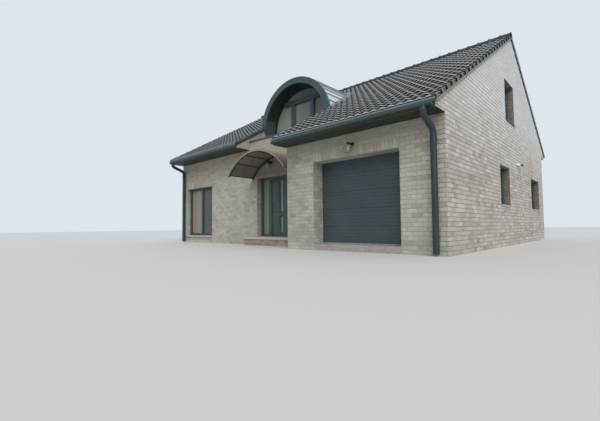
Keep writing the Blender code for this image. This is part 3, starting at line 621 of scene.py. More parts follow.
def main_face():
    bricks = BrickFace("main_front_bricks", 16)
    window_left, _, window_right, window_head = hole_of("front_window_frame", 1)
    window_foot = span("front_window_sill", 2)[0]
    entrance_left = span("entrance_left_wall", 0)[1]
    entrance_right = span("entrance_right_wall", 0)[0]
    head = span("balcony_parapet", 2)[0]
    over_window = (window_left, window_foot, window_right, window_head + soldier_height)
    bricks.lay(Y * front, X, Z, rectangle(left, 0, recess_left, main_soffit), [over_window])
    doorway = (entrance_left, below_ground, entrance_right, head + soldier_height)
    bricks.lay(Y * front, X, Z, rectangle(recess_left, 0, garage_left, parapet_top), [doorway])
    soldier_course(bricks, window_left, window_right, window_head, front)
    soldier_course(bricks, entrance_left, entrance_right, head, front)
    window = (window_left, window_foot, window_right, window_head)
    window_reveal(bricks, window, Y * front, -Y, span("front_window_frame", 1)[0] - front)
    opening = (entrance_left, span("house_floor", 2)[1], entrance_right, head)
    window_reveal(bricks, opening, Y * front, -Y, span("entrance_frame", 1)[0] - front)
    inner_side = rectangle(-garage_left, attic_level, -recess_left, parapet_top)
    bricks.lay(Y * wall_inner_front, -X, Z, inner_side)
    bricks.finish(front_brick)


right_gable()
left_gable()
rear_face()
garage_face()
recess_sides()
main_face()


# Roof tiles.
# Glazed charcoal clay tiles with one roll each, lapped row over row up both slopes. Each is hung by its back
# edge, so its front edge lies on the row below; the last ones stop at the verges and round the barrel.
def closed_sheet(upper, lower):
    """Points and faces of a solid between two matching grids of points, given as rows of the same length."""
    rows, columns = len(upper), len(upper[0])
    vertices = [point for row in upper for point in row] + [point for row in lower for point in row]
    below = rows * columns
    faces = []
    for row in range(rows - 1):
        for column in range(columns - 1):
            corner = row * columns + column
            quad = [corner, corner + 1, corner + columns + 1, corner + columns]
            faces.append(quad)
            faces.append([below + index for index in reversed(quad)])
    rim = list(range(columns))
    rim += [row * columns + columns - 1 for row in range(1, rows)]
    rim += [(rows - 1) * columns + column for column in range(columns - 2, -1, -1)]
    rim += [row * columns for row in range(rows - 2, 0, -1)]
    for here, after in zip(rim, rim[1:] + rim[:1]):
        faces.append([below + here, below + after, after, here])
    return vertices, faces


def set_out_tree():
    """Copies of one pattern on every point, each with the turn, size and tone that its point carries."""
    tree = bpy.data.node_groups.new("set_out", "GeometryNodeTree")
    face = tree.interface
    face.new_socket("Spots", in_out="INPUT", socket_type="NodeSocketGeometry")
    face.new_socket("Pattern", in_out="INPUT", socket_type="NodeSocketObject")
    face.new_socket("Finish", in_out="INPUT", socket_type="NodeSocketMaterial")
    face.new_socket("Enlarge", in_out="INPUT", socket_type="NodeSocketFloat")
    face.new_socket("Laid", in_out="OUTPUT", socket_type="NodeSocketGeometry")
    new, link = tree.nodes.new, tree.links.new
    given, laid = new("NodeGroupInput"), new("NodeGroupOutput")
    pattern = new("GeometryNodeObjectInfo")
    carried = []
    for name in ("turn", "size"):
        reader = new("GeometryNodeInputNamedAttribute")
        reader.data_type = "FLOAT_VECTOR"
        reader.inputs["Name"].default_value = name
        carried.append(reader.outputs["Attribute"])
    enlarged = new("ShaderNodeVectorMath")
    enlarged.operation = "SCALE"
    copies = new("GeometryNodeInstanceOnPoints")
    real = new("GeometryNodeRealizeInstances")
    coat = new("GeometryNodeSetMaterial")
    link(given.outputs["Pattern"], pattern.inputs["Object"])
    link(given.outputs["Spots"], copies.inputs["Points"])
    link(pattern.outputs["Geometry"], copies.inputs["Instance"])
    link(carried[0], copies.inputs["Rotation"])
    link(carried[1], enlarged.inputs[0])
    link(given.outputs["Enlarge"], enlarged.inputs["Scale"])
    link(enlarged.outputs[0], copies.inputs["Scale"])
    link(copies.outputs[0], real.inputs[0])
    link(real.outputs[0], coat.inputs["Geometry"])
    link(given.outputs["Finish"], coat.inputs["Material"])
    link(coat.outputs[0], laid.inputs[0])
    return tree


laying_out = set_out_tree()


def set_out(name, pattern, spots, look, body="house", seed=1, enlarge=1.0):
    """Lay copies of a pattern. Each spot is a place, a turn (as a matrix) and a size along each axis."""
    dice = random.Random(seed)
    carrier = bpy.data.meshes.new(name)
    carrier.from_pydata([tuple(place) for place, _, _ in spots], [], [])
    turns = [angle for _, turn, _ in spots for angle in turn.to_euler()]
    sizes = [value for _, _, size in spots for value in size]
    for label, values in (("turn", turns), ("size", sizes)):
        carrier.attributes.new(label, "FLOAT_VECTOR", "POINT").data.foreach_set("vector", values)
    made = add(name, carrier)
    carry(made, "tone", [dice.random() for _ in spots])
    layer = made.modifiers.new("set_out", "NODES")
    layer.node_group = laying_out
    sockets = {item.name: item.identifier for item in laying_out.interface.items_tree}
    layer[sockets["Pattern"]] = pattern
    layer[sockets["Finish"]] = look.material
    layer[sockets["Enlarge"]] = enlarge
    bpy.context.view_layer.update()
    settled = bpy.data.meshes.new_from_object(made.evaluated_get(bpy.context.evaluated_depsgraph_get()))
    made.modifiers.clear()
    made.data = settled
    bpy.data.meshes.remove(carrier)
    bpy.data.objects.remove(pattern, do_unlink=True)
    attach(made, body)
    return made


def tile_finish():
    """Glazed charcoal clay: painted sheen on rolls, painted shade in troughs, painted highlight on front
    edges.
    """
    made = Finish("glazed_charcoal", (0.03, 0.032, 0.036), 0.5, Specular_IOR_Level=0.12)
    tone = made.own("tone")
    tones = [(0.0, (0.009, 0.014, 0.015)), (0.6, (0.018, 0.024, 0.025)), (1.0, (0.037, 0.043, 0.045))]
    roll = made.ramp(tone, tones)
    trough = made.ramp(tone, [(0.0, (0.006, 0.008, 0.009)), (1.0, (0.013, 0.016, 0.017))])
    # Painted light: the roll colour where a tile carries sheen, the near-black trough colour where it is
    # shaded.
    crest = made.own("crest")
    shade = made.mix(crest.between(0.35, 0.75), trough, roll)
    grime = made.noise(1.3, 4).between(0.5, 0.8) * 0.25
    shade = made.mix(grime, shade, rgb(0.06, 0.06, 0.057))
    # Painted highlight: pale glaze on the faces marked for it.
    shade = made.mix(made.own("nose"), shade, rgb(0.43, 0.45, 0.46))
    made.set("Base Color", shade)
    speck = made.noise(90, 4)
    made.vary("Roughness", speck, 0.46, 0.62, high=0.75)
    return made.bump(speck, 0.001)


tile_look = tile_finish()
usual_cover = 0.2074
tile_gauge = 0.347
tile_length = 0.415
tile_roll = 0.024
tile_body = 0.010
tile_bed = 0.004
tile_nose = 0.021
nose_lean = 0.012
nose_swell = 1.15
roll_share = 0.68
tile_steps = 9
deck_rise = 0.088
eave_reach = 0.035
shortest_row = 0.09
ridge_clear = 0.10
top_row_cut = 0.15
barrel_lap = 0.06
barrel_tuck = 0.1
slope_low, slope_high = span("front_roof", 0)
columns = round((slope_high - slope_low) / usual_cover)
tile_cover = (slope_high - slope_low) / columns


def tile_profile(share):
    """Height of the tile over its bed, across its width."""
    if share < roll_share:
        return tile_roll * math.sin(math.pi * share / roll_share)
    return -0.12 * tile_roll * math.sin(math.pi * (share - roll_share) / (1 - roll_share))


def roof_tile(plugged=False):
    """One tile, thicker at its front edge. A plugged one has its roll filled with mortar at the eave."""
    shares = [step / (tile_steps - 1) for step in range(tile_steps)]
    upper, lower = [], []
    front_lift = tile_body + tile_bed + tile_nose
    for along, lift, swell in ((0, front_lift, nose_swell), (tile_length, tile_bed, 1.0)):
        back = along or nose_lean
        upper.append([(tile_cover * s, back, lift + swell * tile_profile(s) + tile_body) for s in shares])
        hollow = 0.15 if plugged and along == 0 else 1.0
        lower.append([(tile_cover * s, along, lift + hollow * tile_profile(s)) for s in shares])
    vertices, faces = closed_sheet(upper, lower)
    made = new_piece("roof_tile", vertices, faces, tile_look, None, smooth_under=60)
    # Painted sheen along the front edge's rolls, none at the back end: a painted shade under the next tile.
    front_crest_lights = [max(0.0, tile_profile(s) / tile_roll) for s in shares]
    crest_lights = 2 * (front_crest_lights + [0.0] * tile_steps)
    carry(made, "crest", crest_lights)
    # Painted highlight on the front faces, brightest along the eave and across the rolls.
    glaze_highlights = [0.0] * len(faces)
    first = 2 * (tile_steps - 1)
    for step in range(tile_steps - 1):
        glaze_highlights[first + step] = 1.0 if plugged or shares[step] < roll_share - 0.05 else 0.6
    carry(made, "nose", glaze_highlights, "FACE")
    return made


def tint(pattern, crest, pale=0.0):
    """Give a trim tile one level of painted sheen and one share of pale painted highlight."""
    for name, value in (("crest", crest), ("nose", pale)):
        carry(pattern, name, [value] * len(pattern.data.vertices))
    return pattern


def slope_frame(side):
    """The up-slope direction, the direction out of the slope and the direction across, on one side."""
    upward = Vector((0, -side * math.cos(pitch), math.sin(pitch)))
    outward = Vector((0, side * math.sin(pitch), math.cos(pitch)))
    across = upward.cross(outward)
    return across, upward, outward


def turned_to(across, upward, outward):
    """A turn that carries X, Y and Z to the three directions."""
    return Matrix((across, upward, outward)).transposed()


dormer_low, dormer_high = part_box("dormer_roof")
barrel_radius = (dormer_high[0] - dormer_low[0]) / 2
barrel_middle = (dormer_high[0] + dormer_low[0]) / 2
barrel_axis = dormer_high[2] - barrel_radius
barrel_front = span("dormer_fascia", 1)[0]
verge_width = 0.095
verge_reach = 0.04
garage_verge = span("garage_gutter", 0)[0]
recess_verge = recess_left + garage_left - garage_verge


def bed_height(y):
    """The height of the tiles' bed at a place on either slope."""
    return roof_line(y) + deck_rise


def in_barrel(x, y, z):
    """Whether a place on the roof lies within the barrel, behind its front."""
    return y > barrel_front and math.hypot(x - barrel_middle, z - barrel_axis) < barrel_radius - barrel_lap


def dormer_edge(x):
    """Where the tiles begin again behind the barrel."""
    inside = max(0.0, barrel_radius**2 - (x - barrel_middle) ** 2)
    height = barrel_axis + math.sqrt(inside)
    return (height - ridge_height - deck_rise) / math.tan(pitch) - barrel_tuck


def over_balcony(middle, y):
    """Whether the front slope has no roof here, between the balcony's sides and before the barrel's back."""
    within = recess_verge - verge_reach < middle < garage_verge + verge_reach
    return within and y < dormer_edge(middle)


def slope_rows(eave):
    """The distance of each row of tiles up a slope, measured from its own eave."""
    slope_length = abs(eave) / math.cos(pitch) - ridge_clear
    rows = math.ceil(slope_length / tile_gauge)
    gauge = slope_length / (rows - top_row_cut)
    return [row * gauge - eave_reach for row in range(rows)]


def row_places(eave):
    """Y of each row's front edge. The left eave starts with a short row and then keeps the garage's rows."""
    side = 1 if eave > 0 else -1
    longest = garage_eave if side < 0 else rear_eave
    places = [side * (abs(longest) - up * math.cos(pitch)) for up in slope_rows(longest)]
    edge = eave + side * eave_reach * math.cos(pitch)
    return [edge] + [y for y in places if abs(y) < abs(edge) - shortest_row]


def roof_spots(eave, middle_range):
    """A place for each tile of one slope from its eave up, for the columns whose middles lie in the range."""
    side = 1 if eave > 0 else -1
    across, upward, outward = slope_frame(side)
    turn = turned_to(across, upward, outward)
    for y in row_places(eave):
        for column in range(columns):
            start = slope_low + column * tile_cover
            middle = start + tile_cover / 2
            if not middle_range[0] < middle < middle_range[1]:
                continue
            x = start if across.x > 0 else start + tile_cover
            centre = y - side * tile_gauge / 2 * math.cos(pitch)
            if side < 0 and (over_balcony(middle, y) or in_barrel(middle, centre, bed_height(centre))):
                continue
            yield Vector((x, y, bed_height(y))), turn, (1, 1, 1)


def lay_slope(node, parts, seed):
    """Tile one slope: plugged tiles along each eave, then the plain rows."""
    spots = [(eave, spot) for eave, middle_range in parts for spot in roof_spots(eave, middle_range)]
    edges = {eave: row_places(eave)[0] for eave, middle_range in parts}
    eave_row = [spot for eave, spot in spots if abs(spot[0].y - edges[eave]) < 0.001]
    plain = [spot for eave, spot in spots if abs(spot[0].y - edges[eave]) >= 0.001]
    tiles = set_out(f"{node}_tiles", roof_tile(), plain, tile_look, seed=seed)
    set_out(f"{node}_eave_tiles", roof_tile(plugged=True), eave_row, tile_look, seed=seed + 50)
    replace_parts(tiles, node)


front_parts = [(main_eave, (slope_low, barrel_middle)), (garage_eave, (barrel_middle, slope_high))]
lay_slope("front_roof", front_parts, 21)
lay_slope("rear_roof", [(rear_eave, (slope_low, slope_high))], 22)


def merged_copy(node, name):
    """A copy of a CAD node's mesh with its loose triangles joined."""
    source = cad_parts[node]
    mesh = source.data.copy()
    mesh.transform(source.matrix_world)
    shape = bmesh.new()
    shape.from_mesh(mesh)
    bmesh.ops.remove_doubles(shape, verts=shape.verts, dist=0.00005)
    bmesh.ops.recalc_face_normals(shape, faces=shape.faces)
    shape.to_mesh(mesh)
    shape.free()
    return add(name, mesh)


underlay_look = Finish("dark_underlay", (0.03, 0.03, 0.032), 0.9)
underlay_look.vary("Base Color", underlay_look.noise(8), (0.02, 0.02, 0.022), (0.04, 0.04, 0.043))
slab_rise = 0.1733
deck_gap = 0.004


def roof_deck(node, name):
    """The boarded deck under the tiles: the modelled slab, thinned from its upper side."""
    deck = merged_copy(node, name)
    for vertex in deck.data.vertices:
        line = roof_line(vertex.co.y)
        vertex.co.z = line + (vertex.co.z - line) * (deck_rise - deck_gap) / slab_rise
    paint(deck, underlay_look)
    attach(deck, "house")


roof_deck("front_roof", "front_deck")
roof_deck("rear_roof", "rear_deck")


# Verges and ridge.
# Angled clay tiles cap the edges of both slopes, stepped with the rows, and half-round ridge tiles with a
# collar at one end run along the top. The end of the ridge is closed with a disc.
verge_drop = 0.084
verge_rise = 0.034
verge_plate = 0.014
verge_length = 0.385
verge_shade = 0.300
skirt_highlight = 0.42
verge_gap = 0.006
verge_bevel = 0.012


def tube_faces(rings, count):
    """Faces that join rings of points into a solid with flat ends."""
    faces = []
    for ring in range(rings - 1):
        for k in range(count):
            here, after = ring * count + k, ring * count + (k + 1) % count
            faces.append([here, after, after + count, here + count])
    return faces + [list(range(count - 1, -1, -1)), list(range((rings - 1) * count, rings * count))]


def verge_tile(hand):
    """An angle of clay with a painted highlight on its skirt. hand is 1 where the skirt is on the right,
    looking up.
    """

    def section(along, inset, lift):
        inner, outer = -hand * verge_width, -hand * inset
        top, under = verge_rise + lift, verge_rise + lift - verge_plate
        skirt = -verge_drop + lift * 0.2
        points = [
            (inner, under), (inner, top), (outer - hand * verge_bevel, top), (outer, top - verge_bevel),
            (outer, skirt), (outer - hand * verge_plate, skirt), (outer - hand * verge_plate, under),
        ]
        return [(x, along, z) for x, z in points]

    rings = [section(0.0, 0.0, 0.026), section(verge_shade, 0.024, 0.006), section(verge_length, 0.030, 0.0)]
    faces = tube_faces(3, 7)
    if hand < 0:
        faces = [list(reversed(face)) for face in faces]
    made = new_piece("verge_tile", [point for ring in rings for point in ring], faces, tile_look, None)
    # Painted light: sheen on the front part, painted shade on the back part and both end faces.
    shaded_faces = [0.0] * 9
    carry(made, "crest", [0.8] * 7 + shaded_faces, "FACE")
    # A pale painted highlight on the top and more on the skirt.
    carry(made, "nose", [0.0, 0.2, skirt_highlight, skirt_highlight, skirt_highlight, 0.0, 0.0] + shaded_faces, "FACE")
    return made


def lay_verge(name, eave, edge, outer, seed):
    """Verge tiles along one edge of a slope. outer is 1 where the drop is toward +X."""
    across, upward, outward = slope_frame(1 if eave > 0 else -1)
    hand = outer if across.x > 0 else -outer
    turn = turned_to(across, upward, outward)
    places = [y for y in row_places(eave) if abs(y) > 0.04]
    spots = [(Vector((edge + outer * verge_gap, y, bed_height(y))), turn, (1, 1, 1)) for y in places]
    set_out(name, verge_tile(hand), spots, tile_look, seed=seed)


slope_edges = {
    "right_front": (garage_eave, slope_high, 1),
    "right_rear": (rear_eave, slope_high, 1),
    "left_front": (main_eave, slope_low, -1),
    "left_rear": (rear_eave, slope_low, -1),
}
for seed, (name, edge) in enumerate(slope_edges.items(), 31):
    lay_verge(f"{name}_verge", *edge, seed)


ridge_pitch = 0.345
ridge_collar = 0.050
ridge_waist = 0.018
ridge_wall = 0.010
ridge_overlap = 0.012
ridge_steps = 12
ridge_low, ridge_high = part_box("ridge_tiles")
ridge_radius = (ridge_high[1] - ridge_low[1]) / 2
ridge_axis = ridge_high[2] - ridge_radius


def ridge_tile():
    """A half tube with a raised collar at its near end and a slight taper to its far one."""
    body = ridge_radius - ridge_waist
    bore = body - ridge_wall
    stations = [
        (0.0, ridge_radius, bore), (ridge_collar - 0.006, ridge_radius, bore),
        (ridge_collar, ridge_radius - 0.004, bore), (ridge_collar + 0.004, body, bore - 0.002),
        (ridge_pitch + ridge_overlap, body - 0.006, bore - 0.008),
    ]
    turns = [math.radians(-12) + math.radians(204) * k / ridge_steps for k in range(ridge_steps + 1)]

    def skin(side):
        return [[(s[0], s[side] * math.cos(a), s[side] * math.sin(a)) for a in turns] for s in stations]

    vertices, faces = closed_sheet(skin(1), skin(2))
    # The ridge tiles get full painted sheen and a little painted highlight along their tops.
    return tint(new_piece("ridge_tile", vertices, faces, tile_look, None, smooth_under=50), 1.0, 0.10)


disc_depth = 0.014
disc_seat = 0.016
ridge_count = round((ridge_high[0] - ridge_low[0]) / ridge_pitch)
ridge_step = (ridge_high[0] - ridge_low[0] - disc_depth) / ridge_count
flat = Matrix.Identity(3)
ridge_spots = [
    (Vector((ridge_low[0] + k * ridge_step, 0, ridge_axis)), flat, (ridge_step / ridge_pitch, 1, 1))
    for k in range(ridge_count)
]
ridge = set_out("ridge_run", ridge_tile(), ridge_spots, tile_look, seed=35)
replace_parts(ridge, "ridge_tiles")


def circle(radius, steps=16, centre=(0, 0)):
    """Points evenly round a circle."""
    turns = [2 * math.pi * k / steps for k in range(steps)]
    return [(centre[0] + radius * math.cos(a), centre[1] + radius * math.sin(a)) for a in turns]


def ridge_disc(name, x, outward):
    """The end of the ridge: a shallow cap with a rounded rim."""
    inset_by = [(0.0, 0.004), (0.010, 0.006), (disc_depth, 0.020), (disc_depth, ridge_radius - 0.02)]
    vertices = [
        (x + outward * (along - disc_seat), y, ridge_axis + z)
        for along, inset in inset_by for y, z in circle(ridge_radius - inset, 24)
    ]
    faces = tube_faces(len(inset_by), 24)
    if outward < 0:
        faces = [list(reversed(face)) for face in faces]
    return tint(new_piece(name, vertices, faces, tile_look, "roof_tile", smooth_under=50), 0.6)


ridge_disc("right_ridge_end", ridge_high[0], 1)
ridge_disc("left_ridge_end", ridge_low[0], -1)


# Eaves and gutters.
# A painted box closes the eaves: grooved boards underneath and a plain board in front. A half-round gutter
# with a rolled front bead hangs before it on brackets, and swan necks lead to round downpipes on clamps.
def paint_finish(name, colour, roughness=0.42):
    """Satin paint with faint dust and hardly any grain."""
    made = Finish(name, colour, roughness, Specular_IOR_Level=0.45)
    dust = made.noise(2.2, 4, 0.6)
    light = tuple(min(1.0, value * 1.22 + 0.006) for value in colour)
    made.vary("Base Color", dust, colour, light, 0.35, 0.75)
    return made.vary("Roughness", made.noise(45, 3), roughness - 0.06, roughness + 0.10)


trim_look = paint_finish("anthracite_paint", (0.045, 0.080, 0.086))
# A darker copy of the anthracite paint: painted shade on soffits, the dormer's lining and its glazing rim.
shaded_soffit_look = paint_finish("shaded_soffit_paint", (0.018, 0.029, 0.027), 0.5)


def sawn_board(name, size, ease, look):
    """A board from its lowest corner, with its long edges eased."""
    shape = bmesh.new()
    bmesh.ops.create_cube(shape, size=1.0)
    for vertex in shape.verts:
        vertex.co = Vector([(place + 0.5) * length for place, length in zip(vertex.co, size)])
    bmesh.ops.bevel(shape, geom=shape.edges[:], offset=ease, segments=1, affect="EDGES")
    mesh = bpy.data.meshes.new(name)
    shape.to_mesh(mesh)
    shape.free()
    made = add(name, mesh)
    paint(made, look)
    return made


def block(name, low, high, ease, look, slot, body="house"):
    """An eased block between two corners, as a piece of its own."""
    low, high = Vector(low), Vector(high)
    made = sawn_board(name, high - low, ease, look)
    made.data.transform(Matrix.Translation(low))
    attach(made, body)
    return made


def outward_piece(*about, **more):
    """A new piece whose faces are turned outward."""
    made = new_piece(*about, **more)
    shape = bmesh.new()
    shape.from_mesh(made.data)
    bmesh.ops.recalc_face_normals(shape, faces=shape.faces)
    shape.to_mesh(made.data)
    shape.free()
    return made


def sheet_piece(name, upper, lower, look, slot, smooth_under=30):
    """A piece that fills the gap between two matching grids of points."""
    return outward_piece(name, *closed_sheet(upper, lower), look, slot, smooth_under=smooth_under)


def swept(name, path, section, look, slot, body="house", smooth_under=40, up=Z):
    """A section pushed along a path. The section's first axis points sideways, its second upward."""
    path = [Vector(point) for point in path]
    rings = []
    for k, point in enumerate(path):
        before = path[max(k - 1, 0)]
        after = path[min(k + 1, len(path) - 1)]
        first = (point - before).normalized() if k else (after - point).normalized()
        second = (after - point).normalized() if k < len(path) - 1 else first
        run = (first + second).normalized()
        side = run.cross(up).normalized()
        top = side.cross(run)
        stretch = 1 / max(0.3, first.dot(run))
        bend = second - first
        widen = bend.normalized() if bend.length > 1e-6 else None
        ring = []
        for across, rise in section:
            offset = side * across + top * rise
            if widen:
                flat = widen - run * widen.dot(run)
                flat.normalize()
                offset = offset + flat * offset.dot(flat) * (stretch - 1)
            ring.append(point + offset)
        rings.append(ring)
    vertices = [point for ring in rings for point in ring]
    return outward_piece(name, vertices, tube_faces(len(rings), len(section)), look, slot, body, smooth_under)


def gutter_finish():
    """Painted metal, darkened to a dull brown along its underside as a painted shade."""
    made = Finish("shaded_gutter_paint", (0.07, 0.10, 0.115), 0.4)
    dust = made.noise(2.2, 4, 0.6) * 0.2
    worn = made.own("worn")
    stops = [(0.0, (0.070, 0.118, 0.128)), (0.45, (0.040, 0.066, 0.070)), (0.8, (0.026, 0.031, 0.022))]
    made.set("Base Color", made.ramp(worn + dust, stops))
    return made


gutter_look = gutter_finish()
pipe_look = paint_finish("pipe_paint", (0.021, 0.037, 0.039))
gutter_wall = 0.003
gutter_bead = 0.009
gutter_half = [math.pi * (1 + step / 14) for step in range(15)]


def gutter_run(node, outward):
    """A half-round gutter along X with a rolled front bead and closed ends. outward is -1 at the front."""
    low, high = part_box(node)
    radius = (high[1] - low[1]) / 2 - gutter_bead
    centre = Vector((0, (high[1] + low[1]) / 2 - outward * gutter_bead / 2, high[2] - 1.1 * gutter_bead))
    outer = [(radius * math.cos(a), radius * math.sin(a)) for a in gutter_half]
    bore = radius - gutter_wall
    inner = [(bore * math.cos(a), bore * math.sin(a)) for a in reversed(gutter_half)]
    bead = [
        (radius + gutter_bead * (0.1 + 0.9 * math.cos(a)), gutter_bead * (0.2 + 0.9 * math.sin(a)))
        for a in [math.pi * (step / 5 - 0.25) for step in range(6)]
    ]
    ends = [centre + X * low[0], centre + X * high[0]]
    flip = -outward
    trough = [(flip * -a, b) for a, b in outer + bead + inner]
    made = swept(f"{node}_run", ends, trough, gutter_look, "zinc")
    # Painted shade: deeper the lower each point lies below the gutter's middle.
    worn = [(centre.z - vertex.co.z) / radius for vertex in made.data.vertices]
    carry(made, "worn", worn)
    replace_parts(made, node)
    cap = [(flip * -a, b) for a, b in outer]
    for side, end in zip(("left", "right"), ends):
        swept(f"{node}_{side}_cap", [end - X * gutter_wall, end + X * gutter_wall], cap, trim_look, "zinc")
    return centre, radius


seat = 0.0005
bracket_strap = 0.004
bracket_width = 0.024
bracket_spacing = 0.62
bracket_inset = 0.15


def brackets(node, centre, radius):
    """Flat hooks that carry the gutter from below."""

    def hoop(reach):
        points = [(reach * math.cos(a), reach * math.sin(a)) for a in gutter_half]
        return [[(side * bracket_width / 2, y, z) for y, z in points] for side in (-1, 1)]

    pattern = sheet_piece("bracket", hoop(radius + seat), hoop(radius + bracket_strap), trim_look, None, 40)
    low, high = span(node, 0)
    count = round((high - low) / bracket_spacing)
    step = (high - low - 2 * bracket_inset) / (count - 1)
    spots = [(centre + X * (low + bracket_inset + k * step), flat, (1, 1, 1)) for k in range(count)]
    set_out(f"{node}_brackets", pattern, spots, trim_look, seed=41)


for node, outward in (("garage_gutter", -1), ("left_gutter", -1), ("rear_gutter", 1)):
    brackets(node, *gutter_run(node, outward))

board_pitch = 0.098
board_groove = 0.008
board_depth = 0.010


def soffit_boards(node, reach, seed):
    """Boards across the underside of an eaves box and of the brickwork at its ends, with grooves between."""
    low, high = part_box(node)
    count = round((reach[1] - reach[0]) / board_pitch)
    step = (reach[1] - reach[0]) / count
    size = (step - board_groove, high[1] - low[1] - 0.004, board_depth)
    # The boards take the darker soffit paint, a painted shade on the underside.
    pattern = sawn_board("soffit_board", size, 0.002, shaded_soffit_look)
    first = Vector((reach[0] + board_groove / 2, low[1] + 0.002, low[2] - board_depth - seat))
    spots = [(first + X * k * step, flat, (1, 1, 1)) for k in range(count)]
    set_out(f"{node}_boards", pattern, spots, shaded_soffit_look, seed=seed)
    paint(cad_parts[node], trim_look)


eaves = {
    "garage": ((garage_verge, right), garage_eave, garage_soffit),
    "left": ((left, recess_left), main_eave, main_soffit),
    "rear": ((left, right), rear_eave, main_soffit),
}
for seed, (side, (reach, eave, soffit)) in enumerate(eaves.items(), 42):
    soffit_boards(f"{side}_eaves", reach, seed)

board_cover = 0.018


def fascia_cover(node, reach, eave, soffit):
    """The painted board before the brickwork at the ends of an eaves box."""
    side = 1 if eave > 0 else -1
    near, far = sorted((eave + side * seat, eave + side * board_cover))
    low, high = (reach[0], near, soffit - board_depth), (reach[1], far, roof_line(eave) - 0.004)
    block(f"{node}_board", low, high, 0.002, trim_look, "dark_paint")


for side, (reach, eave, soffit) in eaves.items():
    fascia_cover(f"{side}_eaves", reach, eave, soffit)


drip_fold = 0.004
drip_height = 0.036
drip_look = paint_finish("drip_edge_paint", (0.17, 0.20, 0.215), 0.4)
slab_overrun = garage_eave - span("front_roof", 1)[0]


def eaves_drip(node, gutter_node, reach, eave):
    """A folded strip that closes the gap from the gutter up to the tiles, with a paler fold at its top."""
    side = 1 if eave > 0 else -1
    edge = eave + side * slab_overrun
    fold = bed_height(edge) - 0.012
    foot = span(gutter_node, 2)[1] - 0.01
    for part, under, top, thick, look in (
        ("strip", foot, fold, drip_fold, trim_look),
        ("drip", fold, fold + drip_height, 2 * drip_fold, drip_look),
    ):
        near, far = sorted((edge, edge + side * thick))
        block(f"{node}_{part}", (reach[0], near, under), (reach[1], far, top), 0.001, look, "zinc")


eaves_drip("garage_eaves", "garage_gutter", (garage_verge, slope_high), garage_eave)
eaves_drip("left_eaves", "left_gutter", (slope_low, recess_verge), main_eave)
eaves_drip("rear_eaves", "rear_gutter", (slope_low, slope_high), rear_eave)

strip_flange = 0.12
strip_drop = 0.045
strip_gauge = 0.004


def verge_strip(name, eave, edge, outer):
    """Folded metal along the tiles beside the balcony. outer is 1 where it drops toward +X."""
    outward = slope_frame(-1)[2]
    top = tile_roll + 2 * tile_body
    low = [(-strip_flange, top), (0.0, top), (0.0, -strip_drop)]
    high = [(strip_gauge, -strip_drop), (strip_gauge, top + strip_gauge), (-strip_flange, top + strip_gauge)]
    section = [(outer * u, v) for u, v in low + high]
    start = eave - eave_reach * math.cos(pitch)
    path = [(edge, y, bed_height(y)) for y in (start, barrel_front + 0.02)]
    swept(name, path, section, trim_look, "zinc", up=outward, smooth_under=None)


verge_strip("garage_inner_verge", garage_eave, garage_verge, -1)
verge_strip("left_inner_verge", main_eave, recess_verge, 1)

bedding_gauge = 0.004
bedding_head = -0.033


def verge_bedding(name, eave, edge, outer):
    """Mortar that closes the edge of a slope between the brickwork and the verge tiles."""
    side = 1 if eave > 0 else -1
    across, _, outward = slope_frame(side)
    near, far = [thick * (outer if across.x > 0 else -outer) for thick in (seat, bedding_gauge)]
    foot = -deck_rise * math.cos(pitch) - 0.006
    section = [(near, foot), (far, foot), (far, bedding_head), (near, bedding_head)]
    path = [(edge, y, bed_height(y)) for y in (eave + side * slab_overrun, 0)]
    swept(name, path, section, gable_mortar, "brick", up=outward, smooth_under=None)


for name, edge in slope_edges.items():
    verge_bedding(f"{name}_bedding", *edge)


pipe_radius = 0.066
pipe_steps = 20
pipe_neck_drop = 0.34
pipe_spigot = 0.14
clamp_heights = (0.40, 2.38)
clamp_band = 0.030
ear_reach = 0.016
ear_height = 0.020
stud_half = 0.006
socket_length = 0.06


def pipe_clamp(name, centre, radius, wall_y):
    """A band round a downpipe, its ears and the stud that holds it off the wall."""
    x, y, z = centre
    ring = circle(radius, pipe_steps, (x, y))
    vertices = [(px, py, z + side * clamp_band / 2) for side in (-1, 1) for px, py in ring]
    new_piece(name, vertices, tube_faces(2, pipe_steps), pipe_look, "zinc", smooth_under=40)
    for side in (-1, 1):
        near, far = sorted((x + side * (radius - 0.002), x + side * (radius + ear_reach)))
        low, high = (near, y - stud_half, z - ear_height / 2), (far, y + stud_half, z + ear_height / 2)
        block(f"{name}_ear_{side}", low, high, 0.002, pipe_look, "zinc")
    near, far = sorted((y, wall_y))
    low, high = (x - stud_half, near, z - stud_half), (x + stud_half, far, z + stud_half)
    block(f"{name}_stud", low, high, 0.001, pipe_look, "zinc")


def bend_points(points, radius, steps=6):
    """A path with its corners rounded."""
    points = [Vector(point) for point in points]
    made = [points[0]]
    for before, corner, after in zip(points, points[1:], points[2:]):
        reach_in = min(radius, (corner - before).length * 0.45)
        reach_out = min(radius, (after - corner).length * 0.45)
        start = corner + (before - corner).normalized() * reach_in
        end = corner + (after - corner).normalized() * reach_out
        for k in range(steps + 1):
            share = k / steps
            made.append(start * (1 - share) ** 2 + corner * 2 * share * (1 - share) + end * share**2)
    made.append(points[-1])
    return made


